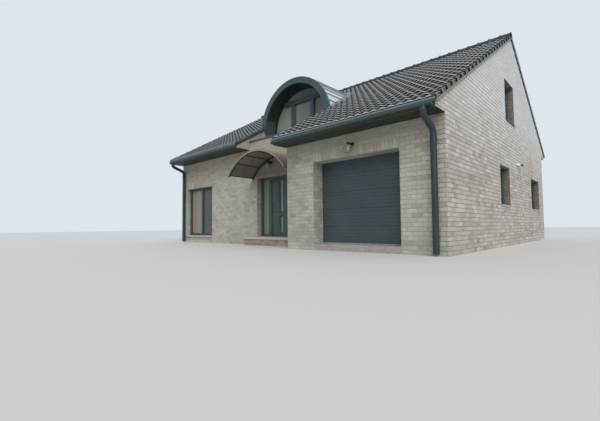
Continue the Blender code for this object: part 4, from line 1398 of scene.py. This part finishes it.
def downpipe(node, gutter_node, wall_y):
    """A swan neck from the gutter back to the wall, and a pipe down to the ground on two clamps."""
    low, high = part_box(node)
    gutter_low, gutter_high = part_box(gutter_node)
    x = high[0] - pipe_radius
    y = low[1] + pipe_radius if wall_y > 0 else high[1] - pipe_radius
    outlet = Vector((low[0] + pipe_radius, (gutter_low[1] + gutter_high[1]) / 2, gutter_low[2] + 0.03))
    elbow = Vector((x, y, gutter_low[2] - pipe_neck_drop))
    bends = [outlet, outlet - Z * (pipe_spigot + 0.03), elbow, Vector((x, y, low[2] + 0.003))]
    path = bend_points(bends, 0.13, 7)
    pipe = swept(f"{node}_run", path, circle(pipe_radius, pipe_steps), pipe_look, "zinc", up=X)
    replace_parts(pipe, node)
    for number, height in enumerate(clamp_heights):
        pipe_clamp(f"{node}_clamp_{number}", (x, y, height), pipe_radius + 0.003, wall_y)
    socket = circle(pipe_radius + 0.005, pipe_steps)
    for number, top in enumerate((elbow - Z * 0.16, outlet - Z * 0.04)):
        swept(f"{node}_socket_{number}", [top - Z * socket_length, top], socket, pipe_look, "zinc", up=X)


for side, wall_y in (("garage", garage_front), ("left", front), ("rear", rear)):
    downpipe(f"{side}_downpipe", f"{side}_gutter", wall_y)


# Barrel dormer.
# A half-round hood over the balcony, roofed in folded zinc with standing seams along its length and edged
# with a broad painted ring. Inside it is lined with boards darkened as painted shade, and the arched glazing
# stands back in it.
def zinc_finish():
    """Pale folded sheet with cloudy weathering."""
    made = Finish("folded_zinc", (0.62, 0.68, 0.71), 0.42, metallic=0.30)
    cloud = made.noise(2.5, 4, 0.6)
    made.vary("Base Color", cloud, (0.66, 0.72, 0.75), (0.80, 0.86, 0.89), high=0.75)
    return made.vary("Roughness", made.noise(30, 4), 0.36, 0.54)


zinc_look = zinc_finish()
seam_look = paint_finish("seam_zinc", (0.26, 0.30, 0.32), 0.5)
arch_steps = 40
zinc_gauge = 0.012
zinc_seat = 0.004
barrel_back = span("dormer_roof", 1)[1]
ring_depth = span("dormer_fascia", 1)
inner_radius = barrel_radius - 0.20
angles = [math.pi * k / arch_steps for k in range(arch_steps + 1)]


def barrel_point(radius, angle, y):
    """A place on the barrel. The angle runs from the right foot over the crown to the left foot."""
    return Vector((barrel_middle + radius * math.cos(angle), y, barrel_axis + radius * math.sin(angle)))


def meets_slope(radius, angle, lift=0.0):
    """Y of the place where the barrel meets the tiles' bed at an angle."""
    height = barrel_axis + radius * math.sin(angle)
    return (height - ridge_height - deck_rise - lift) / math.tan(pitch)


def barrel_end(angle):
    """How far back the zinc reaches at an angle, where it dips under the tiles."""
    return min(barrel_back, meets_slope(barrel_radius, angle) + 0.12)


def zinc_skin(radius):
    """The barrel's surface at a radius, from its ring back to where it dips under the tiles."""
    near = ring_depth[1] - 0.005
    lengths = [barrel_end(a) - ring_depth[1] for a in angles]
    return [
        [barrel_point(radius, a, near + share * length) for a, length in zip(angles, lengths)]
        for share in (0, 1)
    ]


zinc_top = barrel_radius - zinc_seat
barrel = sheet_piece("barrel_zinc", zinc_skin(zinc_top), zinc_skin(zinc_top - zinc_gauge), zinc_look, "zinc")
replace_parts(barrel, "dormer_roof")

seam_height = 0.022
seam_width = 0.009
right_seams = (9, 18, 27.5, 35, 40.5, 46, 54, 63, 72, 81)
seam_degrees = right_seams + (90,) + tuple(180 - value for value in right_seams)


def barrel_seams():
    """Standing seams along the barrel, from its ring back to the tiles."""
    section = [
        (-seam_width / 2, -zinc_seat), (seam_width / 2, -zinc_seat),
        (seam_width / 2, seam_height), (-seam_width / 2, seam_height),
    ]
    for number, degrees in enumerate(seam_degrees):
        angle = math.radians(degrees)
        out = Vector((math.cos(angle), 0, math.sin(angle)))
        start = barrel_point(barrel_radius, angle, ring_depth[1])
        end = barrel_point(barrel_radius, angle, barrel_end(angle) - 0.02)
        if end.y > start.y + 0.1:
            path = [start, end]
            swept(f"barrel_seam_{number}", path, section, seam_look, "zinc", up=out, smooth_under=None)


barrel_seams()


def ring_piece(name, outer, inner, y_range, look, slot="dark_paint", foot=0.0):
    """A flat arch, carried straight down below its springing by the length of its foot."""

    def line(radius):
        points = [(barrel_middle + radius * math.cos(a), barrel_axis + radius * math.sin(a)) for a in angles]
        if foot:
            points = [(points[0][0], points[0][1] - foot)] + points + [(points[-1][0], points[-1][1] - foot)]
        return points

    upper, lower = [[[(x, y, z) for x, z in line(radius)] for y in y_range] for radius in (outer, inner)]
    return sheet_piece(name, upper, lower, look, slot)


rim_look = paint_finish("ring_edge", (0.050, 0.115, 0.115), 0.35)
ring_back = ring_depth[1] + 0.02
rim_range = (ring_depth[0] - 0.008, ring_depth[1] + 0.06)
lining_range = (ring_back, glazing_front + 0.02)
ring = ring_piece("dormer_ring", barrel_radius, inner_radius, (ring_depth[0], ring_back), trim_look)
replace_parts(ring, "dormer_fascia")
ring_piece("dormer_ring_edge", barrel_radius + 0.012, barrel_radius - 0.012, rim_range, rim_look)
# The lining takes the darker soffit paint, a painted shade inside the hood.
ring_piece("dormer_lining", inner_radius + 0.02, inner_radius, lining_range, shaded_soffit_look)

flashing_width = 0.17
flashing_gauge = 0.003
flashing_lift = 0.066
flashing_upstand = 0.07


def barrel_flashing():
    """A sheet dressed over the tiles all round the barrel, turned up against its side."""
    turns = [angle for angle in angles if meets_slope(barrel_radius, angle) > ring_depth[1] + 0.05]

    def row(reach, rise):
        return [barrel_point(reach, a, meets_slope(reach, a, flashing_lift + rise)) for a in turns]

    def line(lift):
        reach = barrel_radius + lift
        return [row(reach, flashing_upstand), row(reach, 0.0), row(reach + flashing_width, 0.0)]

    sheet_piece("barrel_flashing", line(flashing_gauge), line(0.0), seam_look, "zinc")


barrel_flashing()
lining_gauge = 0.012
lining_foot_rise = 0.46
lining_foot_drop = 0.40


def lining_foot(name, side):
    """A painted board that closes the lining at its springing and runs down on the balcony's side wall."""
    reach = math.asin(lining_foot_rise / inner_radius)
    turns = [reach * step / 6 for step in range(7)]
    outline = [(math.cos(a), math.sin(a)) for a in turns]

    def skin(radius):
        points = [(radius, -lining_foot_drop)] + [(radius * u, radius * v) for u, v in outline]
        return [
            [Vector((barrel_middle + side * u, y, barrel_axis + v)) for u, v in points]
            for y in (ring_depth[0] + 0.03, glazing_front)
        ]

    sheet_piece(name, skin(inner_radius - seat), skin(inner_radius - lining_gauge), trim_look, "dark_paint")


lining_foot("left_lining_foot", -1)
lining_foot("right_lining_foot", 1)


# Arched glazing.
# Painted frame with a thin arched rim, one rail across and two posts below it. Behind the glass it is dim,
# with pale curtains at the left, so the panes look brownish grey.
def glass_finish(name, low, high, direction, bands):
    """Window glass over a dim room: dark with a faint, broad reflection, never clear to the inside."""
    made = Finish(name, low, 0.06, Specular_IOR_Level=0.5)
    haze = made.noise(0.8, 3)
    level = made.along(direction).between(*bands)
    made.set("Base Color", made.mix(level * 0.75 + haze * 0.25, rgb(*low), rgb(*high)))
    return made.vary("Roughness", made.noise(14, 2), 0.04, 0.09)


frame_look = paint_finish("frame_paint", (0.040, 0.066, 0.074), 0.38)
attic_glass = glass_finish(
    "dormer_panes", (0.30, 0.34, 0.28), (0.15, 0.16, 0.145), "X", (barrel_middle - 0.9, barrel_middle)
)
paint(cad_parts["dormer_window_glass"], attic_glass)


def mitred_ring(name, opening, section, place, outward, look, slot, body="house"):
    """A frame round an opening, mitred at its corners. The section is given as (inset, out) points."""
    u0, v0, u1, v1 = opening
    along = wall_axis(outward)
    vertices = []
    for u, v, right_u, up_v in ((u0, v0, 1, 1), (u1, v0, -1, 1), (u1, v1, -1, -1), (u0, v1, 1, -1)):
        for inset, out in section:
            vertices.append(place + along * (u + right_u * inset) + Z * (v + up_v * inset) + outward * out)
    count = len(section)
    faces = []
    for here, after in ((0, 1), (1, 2), (2, 3), (3, 0)):
        for k in range(count):
            onward = (k + 1) % count
            faces.append([here * count + k, here * count + onward, after * count + onward, after * count + k])
    return outward_piece(name, vertices, faces, look, slot, body)


frame_depth = 0.07
frame_width = 0.045
sash_width = 0.052
frame_section = [
    (0, -frame_depth), (0, 0), (frame_width - 0.003, 0), (frame_width, -0.003), (frame_width, -frame_depth),
]
sash_section = [
    (0.002, -0.066), (0.002, -0.012), (0.005, -0.009), (sash_width - 0.012, -0.009), (sash_width, -0.022),
    (sash_width, -0.066),
]
bead_section = [(0, -0.001), (0, 0.004), (0.003, 0.007), (0.009, 0.007), (0.016, 0.001), (0.016, -0.001)]


rim_width = 0.036
bay = 0.49
half_post = 0.08
transom_low, transom_high = 5.32, 5.48
sill_height = 0.10


def dormer_glazing():
    """Rim, rail, sill and posts of the screen, with a bead round the middle pane."""
    low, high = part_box("dormer_window_frame")
    rim = inner_radius - 0.001
    inner = rim - rim_width
    legs = barrel_axis - low[2]
    # The rim takes the darker soffit paint, a painted shade under the hood.
    arch = ring_piece("glazing_rim", rim, inner, (low[1], high[1]), shaded_soffit_look, "frame_paint", legs)
    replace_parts(arch, "dormer_window_frame")
    half_rail = math.sqrt(inner**2 - (transom_high - barrel_axis) ** 2)
    foot = low[2] + sill_height
    bars = [
        ("rail", -half_rail, half_rail, 0.008, transom_low, transom_high, 0.004),
        ("sill", -inner, inner, 0.0, low[2], foot, 0.003),
        ("post_-1", -bay - half_post, -bay + half_post, 0.004, foot, transom_low, 0.004),
        ("post_1", bay - half_post, bay + half_post, 0.004, foot, transom_low, 0.004),
    ]
    for name, start, end, proud, under, top, ease in bars:
        corner, opposite = (barrel_middle + start, low[1] - proud, under), (barrel_middle + end, high[1], top)
        block(f"glazing_{name}", corner, opposite, ease, frame_look, "frame_paint")
    pane = (barrel_middle - bay + half_post, foot, barrel_middle + bay - half_post, transom_low)
    place = Y * (low[1] + 0.012)
    mitred_ring("glazing_middle_bead", pane, bead_section, place, -Y, frame_look, "frame_paint")


dormer_glazing()


# Parapet coping.
# A folded metal cap lies over the balcony wall between the two side walls and drips clear of the brick.
coping_look = paint_finish("coping_metal", (0.060, 0.082, 0.088), 0.4)
coping_lip = 0.022
coping_gauge = 0.004
coping_turn = 0.055
coping_front = 0.012
coping_back = 0.024
coping_gap = 0.002


def coping():
    low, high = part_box("balcony_parapet")
    near, far = -coping_lip, high[1] - low[1] + coping_lip
    outer = [(near, -coping_turn), (near, coping_front), (far, coping_back), (far, -coping_turn)]
    near, far = near + coping_gauge, far - coping_gauge
    inner = [
        (far, -coping_turn), (far, coping_back - coping_gauge), (near, coping_front - coping_gauge),
        (near, -coping_turn),
    ]
    section = [(-across, rise) for across, rise in outer + inner]
    foot = high[2] + coping_gap
    path = [(recess_left + coping_gap, low[1], foot), (garage_left - coping_gap, low[1], foot)]
    swept("parapet_coping", path, section, coping_look, "zinc", smooth_under=None)


coping()


# Canopy over the entrance.
# Two dark steel arches and slim purlins carry one bent sheet of bronze plastic that lets some light through.
# A pale metal lip is clipped over the sheet's front edge.
def sheet_finish():
    """Bronze plastic, a little cloudy."""
    made = Finish("bronze_sheet", (0.20, 0.165, 0.145), 0.25, Specular_IOR_Level=0.5)
    cloud = made.noise(1.6, 4)
    made.vary("Base Color", cloud, (0.18, 0.145, 0.125), (0.25, 0.205, 0.18), high=0.75)
    return made.vary("Roughness", cloud, 0.2, 0.34)


sheet_look = sheet_finish()
steel_look = paint_finish("canopy_steel", (0.030, 0.034, 0.034), 0.4)
lip_look = paint_finish("canopy_lip_metal", (0.22, 0.215, 0.165), 0.4)
canopy_reach = math.asin(canopy_half / canopy_radius)
canopy_bar = 0.045
canopy_band = 0.050
sheet_gauge = 0.006
lip_width = 0.028
lip_drop = 0.050
purlin_count = 7
purlin_depth = 0.016
purlin_section = [(-0.008, -0.005), (0.008, -0.005), (0.008, 0.011), (-0.008, 0.011)]


def canopy_strip(name, near, far, outer, inner, look, slot="dark_paint"):
    """A bent strip of the canopy between two distances from its axis."""
    turns = [math.pi / 2 + canopy_reach * (1 - 2 * step / 32) for step in range(33)]
    axis = Vector((canopy_middle, 0, canopy_axis))

    def skin(radius):
        arc = [axis + Vector((radius * math.cos(a), 0, radius * math.sin(a))) for a in turns]
        return [[point + Y * y for point in arc] for y in (near, far)]

    return sheet_piece(name, skin(outer), skin(inner), look, slot)


def canopy():
    front_y, back_y = canopy_low[1], canopy_high[1]
    inner = canopy_radius - canopy_band
    front_arch = canopy_strip(
        "canopy_front_arch", front_y, front_y + canopy_bar, canopy_radius, inner, steel_look
    )
    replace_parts(front_arch, "canopy_frame")
    canopy_strip("canopy_rear_arch", back_y - canopy_bar, back_y, canopy_radius, inner, steel_look)
    sheet_low, sheet_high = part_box("canopy_sheet")
    top = sheet_high[2] - canopy_axis
    cover = canopy_strip(
        "canopy_cover", sheet_low[1], sheet_high[1], top, top - sheet_gauge, sheet_look, "canopy_plastic"
    )
    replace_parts(cover, "canopy_sheet")
    lip_y = sheet_low[1] - 0.003
    canopy_strip("canopy_lip", lip_y, lip_y + lip_width, top + 0.003, top - lip_drop, lip_look)
    inset = canopy_bar / 2 / canopy_radius
    for step in range(purlin_count):
        turn = math.pi / 2 + (canopy_reach - inset) * (1 - 2 * step / (purlin_count - 1))
        out = Vector((math.cos(turn), 0, math.sin(turn)))
        centre = Vector((canopy_middle, 0, canopy_axis)) + out * (canopy_radius - purlin_depth)
        path = [centre + Y * (front_y + canopy_bar), centre + Y * (back_y - canopy_bar)]
        name = f"canopy_purlin_{step}"
        swept(name, path, purlin_section, steel_look, "dark_paint", up=out, smooth_under=None)


canopy()


# Windows.
# Painted metal frames set back in brick reveals: a fixed frame, a sash standing a little behind it and a
# bevelled bead round the glass. Folded metal sills at the gable, a stone one under the front window.
dim_room = (0.055, 0.072, 0.074)
window_glass = glass_finish("window_panes", dim_room, (0.135, 0.165, 0.17), "Z", (0.0, 4.0))
front_glass = glass_finish("front_window_panes", (0.30, 0.27, 0.22), dim_room, "X", (-5.1, -4.85))


def stone_finish(name, colour, dark, light):
    """Fine-grained stone that varies between a dark and a light shade."""
    made = Finish(name, colour, 0.8)
    grain = made.noise(35, 5)
    made.vary("Base Color", grain, dark, light)
    return made.bump(grain, 0.002)


sill_stone = stone_finish("sill_stone", (0.44, 0.40, 0.36), (0.38, 0.345, 0.31), (0.50, 0.46, 0.42))


def window_joinery(name, outward, lights):
    """The fixed frame and the sashes of one window, side by side where it has two lights."""
    low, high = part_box(f"{name}_frame")
    along = 0 if outward.y else 1
    facing = 1 - along
    face = high[facing] if outward[facing] > 0 else low[facing]
    place = (X, Y)[facing] * face
    opening = (low[along], low[2], high[along], high[2])
    ring = mitred_ring(f"{name}_fixed", opening, frame_section, place, outward, frame_look, "frame_paint")
    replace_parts(ring, f"{name}_frame")
    clear = (opening[0] + frame_width, opening[2] - frame_width)
    light = (clear[1] - clear[0]) / lights
    for number in range(lights):
        start = clear[0] + number * light
        sash = (start, opening[1] + frame_width, start + light, opening[3] - frame_width)
        mitred_ring(f"{name}_sash_{number}", sash, sash_section, place, outward, frame_look, "frame_paint")
    return opening, place


sill_reach = 0.205
sill_gauge = 0.003
metal_section = [
    (-0.03, 0.010), (sill_reach, 0.0), (sill_reach, -0.030), (sill_reach + sill_gauge, -0.030),
    (sill_reach + sill_gauge, 0.004), (-0.03, 0.014),
]
stone_section = [
    (-0.02, -0.030), (-0.02, 0.010), (0.19, 0.001), (0.198, -0.006), (0.198, -0.052), (0.172, -0.052),
    (0.172, -0.030),
]
metal_sill = (metal_section, trim_look, "frame_paint")
stone_sill = (stone_section, sill_stone, "stone")


def sill(name, opening, place, outward, section, look, slot):
    """A sill along the foot of a window, from one side of its opening to the other."""
    ends = (opening[0], opening[2])
    across = Z.cross(outward)
    if across.x + across.y < 0:
        ends = reversed(ends)
    path = [place + wall_axis(outward) * end + Z * (opening[1] + 0.001) for end in ends]
    swept(name, path, section, look, slot, smooth_under=None)


window_joinery("front_window", -Y, 2)
for name, outward, lights, kind in (
    ("rear_left_window", Y, 2, metal_sill), ("rear_right_window", Y, 2, metal_sill),
    ("upper_side_window", X, 1, metal_sill), ("front_side_window", X, 1, stone_sill),
    ("rear_side_window", X, 1, stone_sill), ("left_attic_window", -X, 1, metal_sill),
):
    opening, place = window_joinery(name, outward, lights)
    sill(f"{name}_sill", opening, place, outward, *kind)
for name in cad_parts:
    if name.endswith("window_glass") and name not in ("dormer_window_glass", "front_window_glass"):
        paint(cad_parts[name], window_glass)
paint(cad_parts["front_window_glass"], front_glass)

front_sill_low, front_sill_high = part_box("front_window_sill")
front_sill = block("front_sill_slab", front_sill_low, front_sill_high, 0.006, sill_stone, "stone")
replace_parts(front_sill, "front_window_sill")


# Garage door.
# Five steel sections, each pressed with fine ribs, run up behind the doorway on hidden tracks. A pale rubber
# strip seals the lowest section to the floor.
door_look = paint_finish("door_steel", (0.046, 0.068, 0.076), 0.4)
seal_look = Finish("pale_rubber", (0.30, 0.30, 0.28), 0.7)
seal_look.vary("Base Color", seal_look.noise(20), (0.26, 0.26, 0.24), (0.34, 0.34, 0.32))
door_sections = 5
ribs_each = 5
rib_groove = 0.006
rib_depth = 0.0035
joint_groove = 0.010
seal_height = 0.028
seal_proud = 0.006
seal_gap = 0.004


def garage_door():
    low, high = garage_door_low, garage_door_high
    pitch_up = (high[2] - low[2]) / (door_sections * ribs_each)
    face = []
    for rib in range(1, door_sections * ribs_each):
        foot = rib * pitch_up
        joint = rib % ribs_each == 0
        width = joint_groove if joint else rib_groove
        depth = 2 * rib_depth if joint else rib_depth
        face += [(0, foot - width), (-depth, foot - width / 2), (-depth, foot + width / 2), (0, foot + width)]
    back = low[1] - high[1]
    section = [(back, 0), (0, 0)] + face + [(0, high[2] - low[2]), (back, high[2] - low[2])]
    path = [(low[0], low[1], low[2]), (high[0], low[1], low[2])]
    panel = swept("garage_door_panel", path, section, door_look, "door_steel", smooth_under=None)
    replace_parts(panel, "garage_door")
    corner = (doorway_left + seal_gap, low[1] - seal_proud, low[2] + 0.001)
    opposite = (doorway_right - seal_gap, low[1] - seat, low[2] + seal_height)
    block("garage_door_seal", corner, opposite, 0.002, seal_look, "door_steel")


garage_door()


# Entrance door and its frame.
# A painted door with four raised panels and a narrow glazed strip, beside a fixed sidelight in the same
# frame. The leaf carries a long pull bar of dark brushed steel and turns on hinges at its inner face.
entrance_look = paint_finish("entrance_paint", (0.050, 0.082, 0.080), 0.4)
bar_look = Finish("dark_brushed_steel", (0.12, 0.125, 0.125), 0.3, metallic=0.9)
bar_look.vary("Roughness", bar_look.noise(60, 3), 0.22, 0.38)
bar_look.vary("Base Color", bar_look.noise(8, 3), (0.11, 0.115, 0.115), (0.14, 0.145, 0.14))
for name in ("entrance_frame", "front_door"):
    paint(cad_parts[name], entrance_look)
pale_glass = glass_finish("frosted_panes", (0.17, 0.215, 0.19), (0.25, 0.285, 0.24), "X", (-0.9, -0.55))
for name in ("sidelight_glass", "front_door_glass"):
    paint(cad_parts[name], pale_glass)
outer_stile = 0.105
panel_width = 0.235
panel_proud = 0.007
bottom_rail = 0.13
top_rail = 0.075
lock_rail = 0.14
lock_height = 0.78
strip_width = 0.178
bar_radius = 0.012
leaf_width = 0.944
grip_inset = 0.060
bead_lap = 0.012
bead_seat = 0.0015
weather_bar_low, weather_bar_high = 0.012, 0.052


def disc(name, centre, radius, thickness, outward, look, slot, body="house"):
    """A round plate whose rim is eased on its outer side."""
    ring = circle(1.0, 24)
    levels = [(0.0, radius), (thickness * 0.6, radius), (thickness, radius * 0.88)]
    across = Z.cross(outward) if abs(outward.z) < 0.5 else X
    upward = outward.cross(across)
    vertices = [
        Vector(centre) + outward * along + (across * u + upward * v) * reach
        for along, reach in levels for u, v in ring
    ]
    faces = tube_faces(len(levels), len(ring))
    return outward_piece(name, vertices, faces, look, slot, body, smooth_under=35)


def door_leaf():
    """Panels, beads, a weather bar, a lock and a pull bar, all on the leaf's outer face."""
    low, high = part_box("front_door")
    handle_low, handle_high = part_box("front_door_handle")
    foot, head, face = low[2], high[2], handle_high[1] + 0.0003
    leaf_left = handle_low[0] + bar_radius - grip_inset
    leaf_right = leaf_left + leaf_width
    middle = (leaf_left + leaf_right) / 2
    split = foot + lock_height
    on_leaf = ("frame_paint", "entrance_door")
    rows = [(foot + bottom_rail, split - lock_rail / 2), (split + lock_rail / 2, head - top_rail)]
    starts = {"left": leaf_left + outer_stile, "right": leaf_right - outer_stile - panel_width}
    for row, (under, top) in enumerate(rows):
        for side, start in starts.items():
            corner, opposite = (start, face - panel_proud, under), (start + panel_width, face - seat, top)
            block(f"leaf_panel_{side}_{row}", corner, opposite, 0.006, entrance_look, *on_leaf)
        reach = strip_width / 2 + bead_lap
        pane = (middle - reach, under - bead_lap, middle + reach, top + bead_lap)
        place = Y * (face - bead_seat)
        mitred_ring(f"leaf_bead_{row}", pane, bead_section, place, -Y, entrance_look, *on_leaf)
    corner = (leaf_left + 0.02, face - panel_proud, foot + weather_bar_low)
    opposite = (leaf_right - 0.02, face - seat, foot + weather_bar_high)
    block("leaf_weather_bar", corner, opposite, 0.003, trim_look, *on_leaf)
    grip_x, grip_y = handle_low[0] + bar_radius, handle_low[1] + bar_radius
    bottom, top = handle_low[2] + bar_radius, handle_high[2] - bar_radius
    bends = [(grip_x, face, bottom), (grip_x, grip_y, bottom), (grip_x, grip_y, top), (grip_x, face, top)]
    grip = circle(bar_radius - 0.001, 16)
    pull = swept("pull_bar", bend_points(bends, 0.03), grip, bar_look, "brushed", "entrance_door", up=X)
    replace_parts(pull, "front_door_handle")
    for name, height, radius in (
        ("pull_rose_0", bottom, 0.024), ("pull_rose_1", top, 0.024), ("lock_rose", bottom - 0.10, 0.026),
    ):
        disc(name, (grip_x, face - 0.0004, height), radius, 0.006, -Y, bar_look, "brushed", "entrance_door")


door_leaf()


def sidelight():
    """A bead round the fixed pane beside the door."""
    low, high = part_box("sidelight_glass")
    inset = 0.02 - bead_lap
    pane = (low[0] + inset, low[2] + inset, high[0] - inset, high[2] - inset)
    place = Y * (span("entrance_frame", 1)[0] - bead_seat)
    mitred_ring("sidelight_bead", pane, bead_section, place, -Y, entrance_look, "frame_paint")


sidelight()


# Entrance step.
# A pale stone slab with eased edges oversails a low plinth of reddish bricks.
step_stone = stone_finish("step_stone", (0.46, 0.44, 0.41), (0.40, 0.38, 0.355), (0.52, 0.50, 0.47))
plinth_shades = [
    (0.30, 0.19, 0.15), (0.36, 0.24, 0.19), (0.42, 0.29, 0.24), (0.33, 0.22, 0.18), (0.47, 0.35, 0.29),
]
plinth_fade = (0.0, 0.3, 0.15, (0.40, 0.36, 0.32))
plinth_brick = brick_finish("plinth_brick", plinth_shades, (0.75, 0.72, 0.70), plinth_fade)
step_nose = 0.030
slab_thickness = 0.075
plinth_relief = 0.006


def entrance_step():
    low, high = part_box("entrance_step")
    under = high[2] - slab_thickness
    slab = block("step_slab", (low[0], low[1], under), high, 0.008, step_stone, "stone")
    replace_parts(slab, "entrance_step")
    inset = step_nose + plinth_relief
    core_low = (low[0] + inset, low[1] + inset, low[2])
    block("step_core", core_low, (high[0], high[1], under - seat), 0.001, mortar, "stone")
    bricks = BrickFace("step_bricks", 17)
    side_x, front_y, _ = core_low
    bricks.lay(Y * front_y, X, Z, rectangle(side_x, 0, high[0], under - 0.004))
    bricks.lay(X * side_x, -Y, Z, rectangle(-high[1], 0, -front_y, under - 0.004))
    bricks.finish(plinth_brick)


entrance_step()


# Outside lamps.
# Two clear globes hang under short arms with a round wall plate, one beside the garage and one under the
# canopy. A white flood light with a dark lamp head hangs high on the gable.
lamp_black = paint_finish("lamp_black", (0.016, 0.017, 0.018), 0.35)
globe_look = Finish("clear_globe", (0.60, 0.61, 0.58), 0.04, Transmission_Weight=0.8, IOR=1.18)
globe_look.set("Roughness", globe_look.noise(20).between(0.2, 0.9) * 0.08)
bulb_look = Finish("bulb_glass", (0.86, 0.85, 0.80), 0.3)
bulb_look.vary("Base Color", bulb_look.noise(30), (0.80, 0.79, 0.74), (0.90, 0.89, 0.85))


def turned(name, profile, centre, look, slot, steps=24):
    """A shape turned about an upright axis. The profile is (radius, height) from one pole to the other."""
    centre = Vector(centre)
    vertices = [
        centre + Vector((x, y, height)) for radius, height in profile[1:-1] for x, y in circle(radius, steps)
    ]
    faces = tube_faces(len(profile) - 2, steps)[:-2]
    first, last = len(vertices), len(vertices) + 1
    top_ring = first - steps
    vertices += [centre + Z * profile[0][1], centre + Z * profile[-1][1]]
    faces += [[first, (k + 1) % steps, k] for k in range(steps)]
    faces += [[last, top_ring + k, top_ring + (k + 1) % steps] for k in range(steps)]
    return outward_piece(name, vertices, faces, look, slot, smooth_under=45)


globe_swell = 1.22
bulb_profile = [
    (0, -0.040), (0.016, -0.036), (0.026, -0.022), (0.028, -0.006), (0.020, 0.014), (0.013, 0.030),
    (0.013, 0.052), (0, 0.052),
]
cup_profile = [(0, 0.0), (0.040, 0.0), (0.040, 0.034), (0.034, 0.050), (0.014, 0.060), (0, 0.060)]
rod_radius = 0.028
rod_rise = 0.030
plate_radius = 0.050
plate_depth = 0.030


def globe_lamp(name):
    """A clear globe with its bulb, the cup that holds it, and a rod that leads back to a wall plate."""
    low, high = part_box(f"{name}_globe")
    radius = (high[2] - low[2]) / 2 * globe_swell
    centre = Vector(((low[0] + high[0]) / 2, (low[1] + high[1]) / 2, high[2] - radius))
    turns = [math.radians(-90 + 180 * step / 12) for step in range(13)]
    outline = [(radius * math.cos(a), radius * math.sin(a)) for a in turns]
    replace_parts(turned(f"{name}_shell", outline, centre, globe_look, "globe_glass"), f"{name}_globe")
    turned(f"{name}_bulb", bulb_profile, centre, bulb_look, "globe_glass")
    height = centre.z + radius + 0.0003
    turned(f"{name}_cup", cup_profile, (centre.x, centre.y, height), lamp_black, "dark_paint")
    rod_z, wall_y = height + rod_rise, span(f"{name}_arm", 1)[1]
    at_wall = (centre.x, wall_y, rod_z)
    plate = disc(f"{name}_plate", at_wall, plate_radius, plate_depth, -Y, lamp_black, "dark_paint")
    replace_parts(plate, f"{name}_arm")
    path = [(centre.x, wall_y - plate_depth + 0.002, rod_z), (centre.x, centre.y + 0.030, rod_z)]
    swept(f"{name}_rod", path, circle(rod_radius, 16), lamp_black, "dark_paint")


globe_lamp("garage_lamp")
globe_lamp("entrance_lamp")
flood_box_depth = 0.062
flood_box_foot = 0.045
cable_box_reach = (0.26, 0.004)
cable_box_height = 0.085
head_section = [(0.063, 0.030), (0.129, 0.016), (0.129, -0.020), (0.112, -0.034), (0.063, -0.020)]
sensor_profile = [(0, -0.030), (0.016, -0.024), (0.020, -0.008), (0.020, 0.0), (0, 0.0)]


def flood_light():
    """A white junction box and a cable box on the wall, and a dark lamp head that tilts down."""
    low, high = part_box("side_flood_light")
    white_look = paint_finish("white_paint", (0.82, 0.82, 0.80), 0.45)
    box_foot, box_top = low[2] + flood_box_foot, high[2] - 0.01
    opposite = (low[0] + flood_box_depth, high[1], box_top)
    box = block("flood_box", (low[0], low[1], box_foot), opposite, 0.008, white_look, "white_paint")
    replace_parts(box, "side_flood_light")
    corner = (low[0], low[1] - cable_box_reach[0], high[2] - cable_box_height)
    opposite = (low[0] + 0.060, low[1] - cable_box_reach[1], box_top)
    block("flood_cable_box", corner, opposite, 0.008, white_look, "white_paint")
    path = [(low[0], low[1] + 0.01, high[2] - 0.05), (low[0], high[1] - 0.01, high[2] - 0.05)]
    swept("flood_head", path, head_section, lamp_black, "dark_paint", smooth_under=None)
    under = (low[0] + 0.03, (low[1] + high[1]) / 2, box_foot - seat)
    turned("flood_sensor", sensor_profile, under, white_look, "white_paint", 16)


flood_light()


# Floors.
# Smooth screed on the concrete floors inside, seen only through open doors and from above the balcony.
screed_look = Finish("smooth_screed", (0.34, 0.33, 0.31), 0.85)
screed_look.vary("Base Color", screed_look.noise(14, 5), (0.28, 0.27, 0.26), (0.40, 0.39, 0.37))
for name in ("house_floor", "garage_floor", "attic_floor"):
    paint(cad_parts[name], screed_look)
